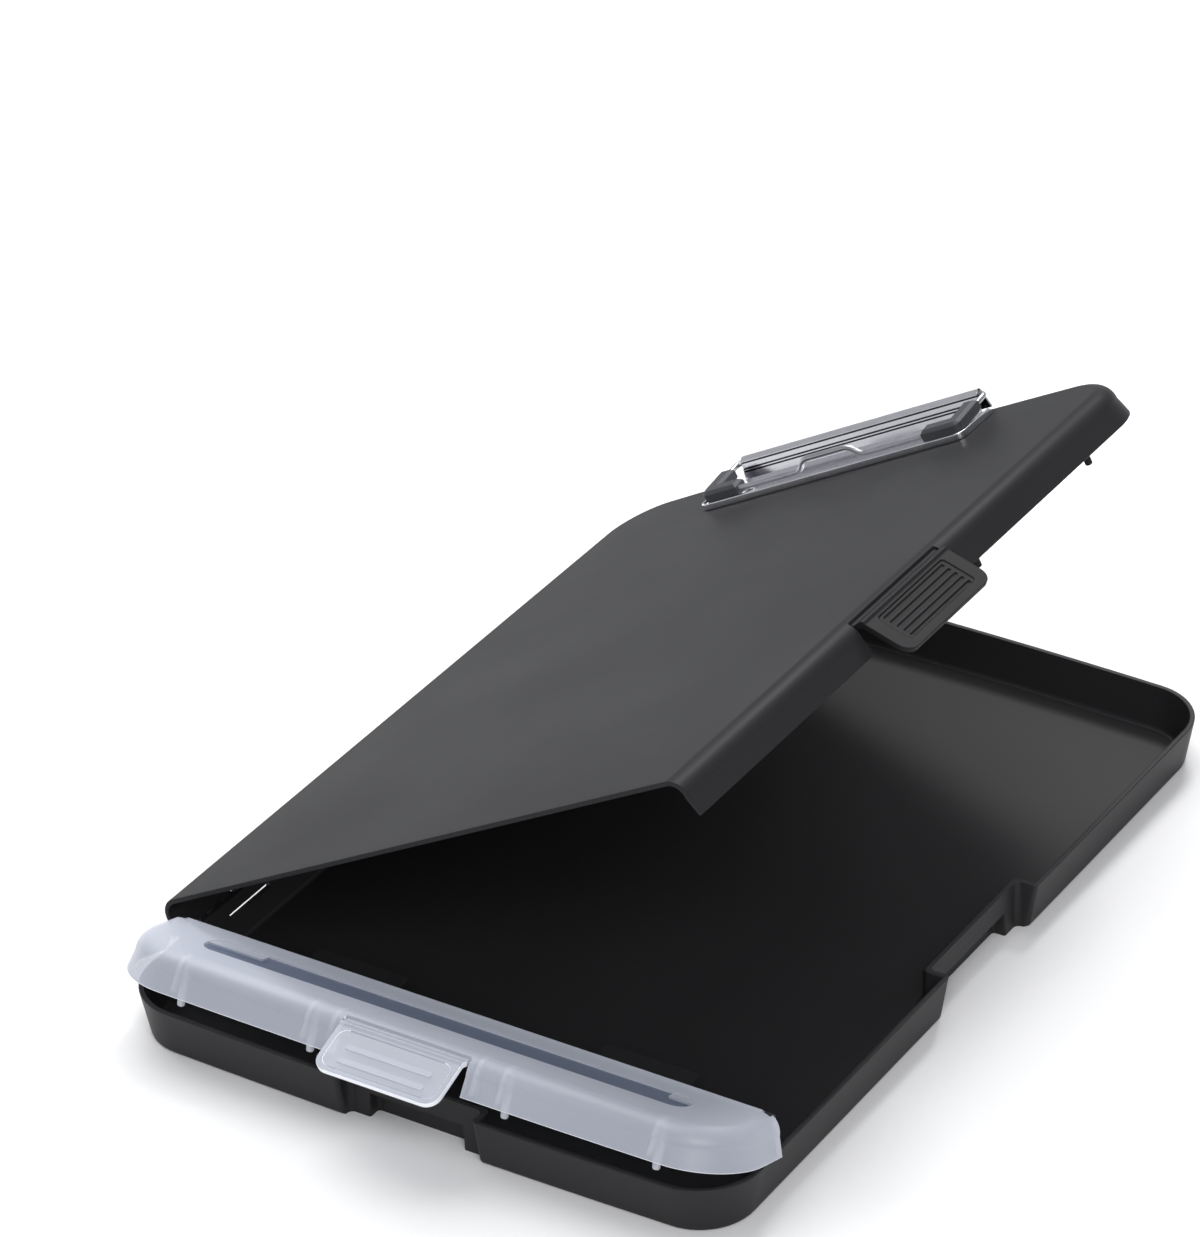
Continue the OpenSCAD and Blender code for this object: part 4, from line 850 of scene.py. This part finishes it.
def make_cover_latch():
    w, rise = COVER_LATCH_W, COVER_LATCH_RISE
    bm = latch_plate(w, rise)
    dish = block(
        (DISH_FROM, DISH_IN - w / 2, rise - DISH_DEEP), (LATCH_LEN - DISH_IN, w / 2 - DISH_IN, rise + 1),
        3.4, 2, 6)
    combine(bm, dish, "DIFFERENCE")
    run_modifiers(bm, rounding(0.3, 3))

    # Painted highlight: the latch's rim and sides are marked to be painted pale, for light led to its cut
    # edges.
    def on_rim(f):
        mid = f.calc_center_median()
        return abs(f.normal.z) < 0.8 and mid.x > 4.2 and (
            abs(mid.y) > w / 2 - LATCH_CORNER_R or mid.x > LATCH_LEN - 0.5)

    paint(bm, "edge", on_rim)
    paint(bm, "edge", lambda f: abs(f.normal.y) > 0.8 and abs(f.calc_center_median().y) > w / 2 - 0.3)
    for u in FINGER_RIBS:
        rib = block(
            (u - FINGER_RIB_HALF, FINGER_RIB_IN - w / 2, rise - 0.6),
            (u + FINGER_RIB_HALF, w / 2 - FINGER_RIB_IN, rise + 0.05), 1.0, 2, 5)
        run_modifiers(rib, rounding(0.12))
        # Painted highlight on the ribs' sides.
        paint(rib, "edge", lambda f: f.normal.z < 0.9, 0.35)
        add_shape(bm, rib)
    add_catch(bm, w, rise, FRONT_RECESS, COVER_LATCH_LEAN)
    piece(
        bm, "cover_latch_plate", "pen_cover_latch", "pen_cover_latch", FROSTED,
        COVER_LATCH_POSE)


make_lid_latch()
make_cover_latch()

# Clip


def clip_outline(z):
    """The clip plate's outline as one flat face: round corners in front, square behind."""
    bm = bmesh.new()
    bmesh.ops.create_grid(bm, x_segments=1, y_segments=1, size=1.0)
    length = HOUSING_FOOT_Y + CLIP_T - CLIP_NEAR_Y
    bmesh.ops.scale(bm, verts=bm.verts, vec=(CLIP_W / 2, length / 2, 1))
    bmesh.ops.translate(bm, verts=bm.verts, vec=(0, CLIP_NEAR_Y + length / 2, z))
    near = [v for v in bm.verts if v.co.y < CLIP_NEAR_Y + 1]
    soften(bm, near, "VERTICES", CLIP_CORNER_R, 8)
    bm.normal_update()
    return bm, list(bm.faces)[0]


def make_clip_plate():
    start_z, top_z, floor_z = CLOSED_H + 0.5, CLOSED_H + CLIP_RIM_H, CLOSED_H + CLIP_T
    bm, face = clip_outline(start_z)
    stepped(bm, face, 0, start_z, [
        (0.0, top_z - 0.25), (0.1, top_z - 0.07), (0.28, top_z), (0.55, top_z), (0.75, top_z - 0.12),
        (CLIP_T, top_z - 0.35), (CLIP_T + 0.05, floor_z + 0.5), (CLIP_T + 0.2, floor_z + 0.15),
        (CLIP_T + 0.5, floor_z)])
    under, face = clip_outline(start_z)
    bmesh.ops.reverse_faces(under, faces=[face])
    stepped(under, face, 0, start_z, [(0.12, CLOSED_H + 0.15), (0.5, CLOSED_H)])
    add_shape(bm, under)
    bmesh.ops.remove_doubles(bm, verts=bm.verts, dist=1e-4)
    rear = block((-CLIP_W, HOUSING_FOOT_Y - 0.4, floor_z), (CLIP_W, HALF_LEN, top_z + 1))
    combine(bm, rear, "DIFFERENCE")
    for sign in (-1, 1):
        slope_x, slope_y = sign * CLIP_W / 2, HOUSING_FOOT_Y - 3.2
        slope = block((slope_x - 3, slope_y, 0), (slope_x + 3, HOUSING_FOOT_Y + 3, 9))
        bmesh.ops.rotate(
            slope, cent=(0, slope_y, 0), matrix=Matrix.Rotation(math.radians(-50), 3, "X"), verts=slope.verts)
        bmesh.ops.translate(slope, vec=(0, 0.6, top_z), verts=slope.verts)
        combine(bm, slope, "DIFFERENCE")
        for radius, low_z in ((DIMPLE_R, floor_z - DIMPLE_DEEP), (RIVET_R + 0.1, 0)):
            hole = rod((sign * RIVET_X, RIVET_Y, low_z), CASE_W, "Z", radius, segments=48)
            combine(bm, hole, "DIFFERENCE")
    add_shape(bm, make_housing())
    piece(bm, "clip_sheet", "clip_plate", "lid", PLATED, LID_POSE, 40.0)


def make_housing():
    """The tent that the wire's ends lie in: two flanks folded over a round top, open at both ends."""
    centre, fold = Vector((0, BAIL_Y, BAIL_Z)), FOLD_R + CLIP_T
    start, end = (centre + fold * Vector((0, math.cos(a), math.sin(a))) for a in FOLD_ANGLES)
    slope = (start.y - HOUSING_FOOT_Y) / (start.z - CLOSED_H)
    bm = bmesh.new()
    flank = [(0, 0)]
    for shaded_crease in CREASES:
        flank += [
            (shaded_crease - 0.3, 0), (shaded_crease - 0.14, CREASE_DEEP), (shaded_crease + 0.14, CREASE_DEEP), (shaded_crease + 0.3, 0)]
    flank.append((start.z - CLOSED_H, 0))
    line = [
        bm.verts.new((-HOUSING_W / 2, HOUSING_FOOT_Y + slope * z + sunk, CLOSED_H + z)) for z, sunk in flank]
    edges = [bm.edges.new(pair) for pair in zip(line, line[1:])]
    slide(bm, bmesh.ops.extrude_edge_only(bm, edges=edges)["geom"], (HOUSING_W, 0, 0))
    ridge = [e for e in bm.edges if min(v.co.z for v in e.verts) > start.z - 0.01]
    turned = bmesh.ops.spin(
        bm, geom=ridge, cent=centre, axis=(-1, 0, 0), dvec=(0, 0, 0), angle=FOLD_ANGLES[0] - FOLD_ANGLES[1],
        steps=16)["geom_last"]
    edges = [e for e in turned if isinstance(e, bmesh.types.BMEdge)]
    made = bmesh.ops.extrude_edge_only(bm, edges=edges)["geom"]
    slide(bm, made, (0, HOUSING_FAR_Y - end.y, CLOSED_H - end.z))
    bmesh.ops.remove_doubles(bm, verts=bm.verts, dist=1e-4)
    bmesh.ops.recalc_face_normals(bm, faces=bm.faces)
    if sum(f.normal.z * f.calc_area() for f in bm.faces) < 0:
        bmesh.ops.reverse_faces(bm, faces=bm.faces)
    run_modifiers(bm, thickness(CLIP_T))
    notch_r = (HOUSING_NOTCH_HALF ** 2 + HOUSING_NOTCH_DEEP ** 2) / (2 * HOUSING_NOTCH_DEEP)
    notch_place = (0, HOUSING_FAR_Y - HOUSING_NOTCH_DEEP + notch_r, CLOSED_H - 1)
    notch = rod(notch_place, HOUSING_H - FOLD_R + 1, "Z", notch_r, segments=96)
    combine(bm, notch, "DIFFERENCE")
    # Painted shade and dark reflection: thin strips in the flank's creases and a strip along the back of the
    # ridge are marked to be painted near-black.
    for shaded_crease in CREASES:
        paint(bm, "shaded_crease", lambda f: f.calc_center_median().y < BAIL_Y - 0.6
              and abs(f.calc_center_median().z - CLOSED_H - shaded_crease) < 0.26)
    paint(bm, "shaded_crease", lambda f: BAIL_Y + 0.1 < f.calc_center_median().y < BAIL_Y + 0.9
          and f.calc_center_median().z > BAIL_Z + 1)
    return bm


def bent_wire(start, heading, moves, radius, sides=20):
    """A round wire led along straight runs and bends; a bend gives its inner side, radius and angle."""
    bm = bmesh.new()
    bmesh.ops.create_circle(bm, cap_ends=True, segments=sides, radius=radius)
    place, heading = Vector(start), Vector(heading)
    turn = Vector((0, 0, 1)).rotation_difference(heading).to_matrix()
    bmesh.ops.rotate(bm, matrix=turn, verts=bm.verts)
    bmesh.ops.translate(bm, vec=place, verts=bm.verts)
    ring = list(bm.edges)
    for move in moves:
        if len(move) == 1:
            made = bmesh.ops.extrude_edge_only(bm, edges=ring)["geom"]
            place = place + heading * move[0]
            slide(bm, made, heading * move[0])
        else:
            side, bend_r, angle = Vector(move[0]), move[1], move[2]
            side = (side - heading * side.dot(heading)).normalized()
            steps = max(4, round(math.degrees(angle) / 7))
            made = bmesh.ops.spin(
                bm, geom=ring, cent=place + side * bend_r, axis=heading.cross(side), dvec=(0, 0, 0),
                angle=angle, steps=steps)["geom_last"]
            place = place + bend_r * (side * (1 - math.cos(angle)) + heading * math.sin(angle))
            heading = (heading * math.cos(angle) + side * math.sin(angle)).normalized()
        ring = [e for e in made if isinstance(e, bmesh.types.BMEdge)]
        ring = [e for e in ring if abs((e.verts[0].co - place).dot(heading)) < 1e-3
                and abs((e.verts[1].co - place).dot(heading)) < 1e-3]
    bmesh.ops.holes_fill(bm, edges=ring)
    bmesh.ops.recalc_face_normals(bm, faces=bm.faces)
    return bm


def make_bail():
    arch_turn = math.acos(1 - ARCH_H / (2 * ARCH_BEND_R))
    top_half = ARCH_W / 2 - 2 * ARCH_BEND_R * math.sin(arch_turn)
    x, y, z = (1, 0, 0), (0, 1, 0), (0, 0, 1)
    arm = BAIL_LEN - BAIL_CORNER_R - ARM_BEND_R
    bar = ARM_X - BAIL_CORNER_R - ARCH_W / 2
    quarter = math.pi / 2
    start = (ARM_BEND_R + SPRING_LEG - ARM_X, 0, 0)
    moves = [
        (SPRING_LEG,), ((0, -1, 0), ARM_BEND_R, quarter), (arm,), (x, BAIL_CORNER_R, quarter), (bar,),
        (z, ARCH_BEND_R, arch_turn), (x, ARCH_BEND_R, arch_turn), (2 * top_half,),
        ((0, 0, -1), ARCH_BEND_R, arch_turn), (x, ARCH_BEND_R, arch_turn), (bar,),
        (y, BAIL_CORNER_R, quarter), (arm,), ((-1, 0, 0), ARM_BEND_R, quarter), (SPRING_LEG,),
    ]
    bm = bent_wire(start, (-1, 0, 0), moves, WIRE_R)
    piece(bm, "bail_wire", "clip_bail", "bail", WIRE, BAIL_POSE, 60.0)


def make_grip(sign, name, node):
    """A moulded rubber sleeve round a corner of the bail, with cut-off edges."""
    out_x, in_x, bar_x = ARM_X + GRIP_OUT, ARM_X - GRIP_IN, ARM_X - GRIP_BAR
    low_y, mid_y, high_y = -GRIP_OUT - BAIL_LEN, GRIP_IN - BAIL_LEN, GRIP_ARM - BAIL_LEN
    bm = bmesh.new()
    corners = [bm.verts.new((sign * x, y, -GRIP_H / 2)) for x, y in (
        (out_x, low_y), (out_x, high_y), (in_x, high_y), (in_x, mid_y), (bar_x, mid_y), (bar_x, low_y))]
    bm.faces.new(corners)
    soften(bm, [corners[0]], "VERTICES", GRIP_CORNER, 3)
    slide(bm, bmesh.ops.extrude_face_region(bm, geom=list(bm.faces))["geom"], (0, 0, GRIP_H))
    bmesh.ops.holes_fill(bm, edges=bm.edges)
    bmesh.ops.recalc_face_normals(bm, faces=bm.faces)
    rims = [e for e in bm.edges if abs(e.verts[0].co.z - e.verts[1].co.z) < 0.01]
    soften(bm, rims, "EDGES", GRIP_EDGE, 1)
    run_modifiers(bm, rounding(0.22, 2, 20))
    piece(bm, name, node, "bail", RUBBER, BAIL_POSE)


def make_rivet(x, name, node):
    """A hollow rivet with a rolled flange above and below."""
    top, low = CLOSED_H + CLIP_T, CLOSED_H - ROOF_T - WASHER_T
    section = [
        (RIVET_BORE_R, low - FLANGE_T), (FLANGE_R, low - FLANGE_T), (FLANGE_R, low), (RIVET_R, low),
        (RIVET_R, top), (FLANGE_R, top), (FLANGE_R, top + 0.35), (3.2, top + 0.62), (2.7, top + FLANGE_T),
        (2.15, top + 0.6), (1.8, top + 0.3), (RIVET_BORE_R, top - 0.2),
    ]
    bm = bmesh.new()
    ring = [bm.verts.new((r, 0, z)) for r, z in section]
    edges = [bm.edges.new(pair) for pair in zip(ring, ring[1:] + ring[:1])]
    bmesh.ops.spin(
        bm, geom=ring + edges, cent=(0, 0, 0), axis=(0, 0, 1), dvec=(0, 0, 0), angle=math.tau, steps=48,
        use_merge=True)
    bmesh.ops.remove_doubles(bm, verts=bm.verts, dist=1e-4)
    bmesh.ops.recalc_face_normals(bm, faces=bm.faces)
    bmesh.ops.translate(bm, vec=(x, RIVET_Y, 0), verts=bm.verts)
    piece(bm, name, node, "lid", PLATED, LID_POSE, 50.0)


make_clip_plate()
make_bail()
make_grip(-1, "grip_sleeve_left", "clip_grip_left")
make_grip(1, "grip_sleeve_right", "clip_grip_right")
make_rivet(-RIVET_X, "hollow_rivet_left", "clip_rivet_left")
make_rivet(RIVET_X, "hollow_rivet_right", "clip_rivet_right")

# Floor and light


def stage_floor():
    mat, n, link, shader = new_material("pale floor")
    n.remove(shader)
    out = n["Material Output"]
    lit = add_node(n, "ShaderNodeBsdfDiffuse", {"Color": (0.86, 0.86, 0.86, 1)})
    link(lit.outputs[0], out.inputs["Surface"])
    bm = bmesh.new()
    bmesh.ops.create_grid(bm, x_segments=1, y_segments=1, size=6.0)
    mesh = bpy.data.meshes.new("floor")
    bm.to_mesh(mesh)
    bm.free()
    mesh.materials.append(mat)
    floor = bpy.data.objects.new("floor", mesh)
    scene.collection.objects.link(floor)


def soft_lamp(name, place, target, size, watts):
    data = bpy.data.lights.new(name, "AREA")
    data.shape = "RECTANGLE"
    data.size, data.size_y = size
    data.energy = watts
    lamp = bpy.data.objects.new(name, data)
    lamp.location = place
    lamp.rotation_euler = (Vector(target) - Vector(place)).to_track_quat("-Z", "Y").to_euler()
    scene.collection.objects.link(lamp)


stage_floor()
soft_lamp("key softbox", (-0.7, 0.35, 1.7), (0, 0, 0.05), (1.5, 1.5), 26)
soft_lamp("front softbox", (0.9, -1.2, 1.2), (0, 0, 0.05), (1.0, 0.8), 15)
soft_lamp("rim softbox", (-0.2, 1.1, 1.3), (0, 0, 0.1), (0.4, 0.3), 12)
world = bpy.data.worlds.new("studio")
scene.world = world
world.use_nodes = True
world.node_tree.nodes["Background"].inputs["Color"].default_value = (0.95, 0.96, 1.0, 1)
world.node_tree.nodes["Background"].inputs["Strength"].default_value = 0.45

scene.view_settings.view_transform = "Standard"
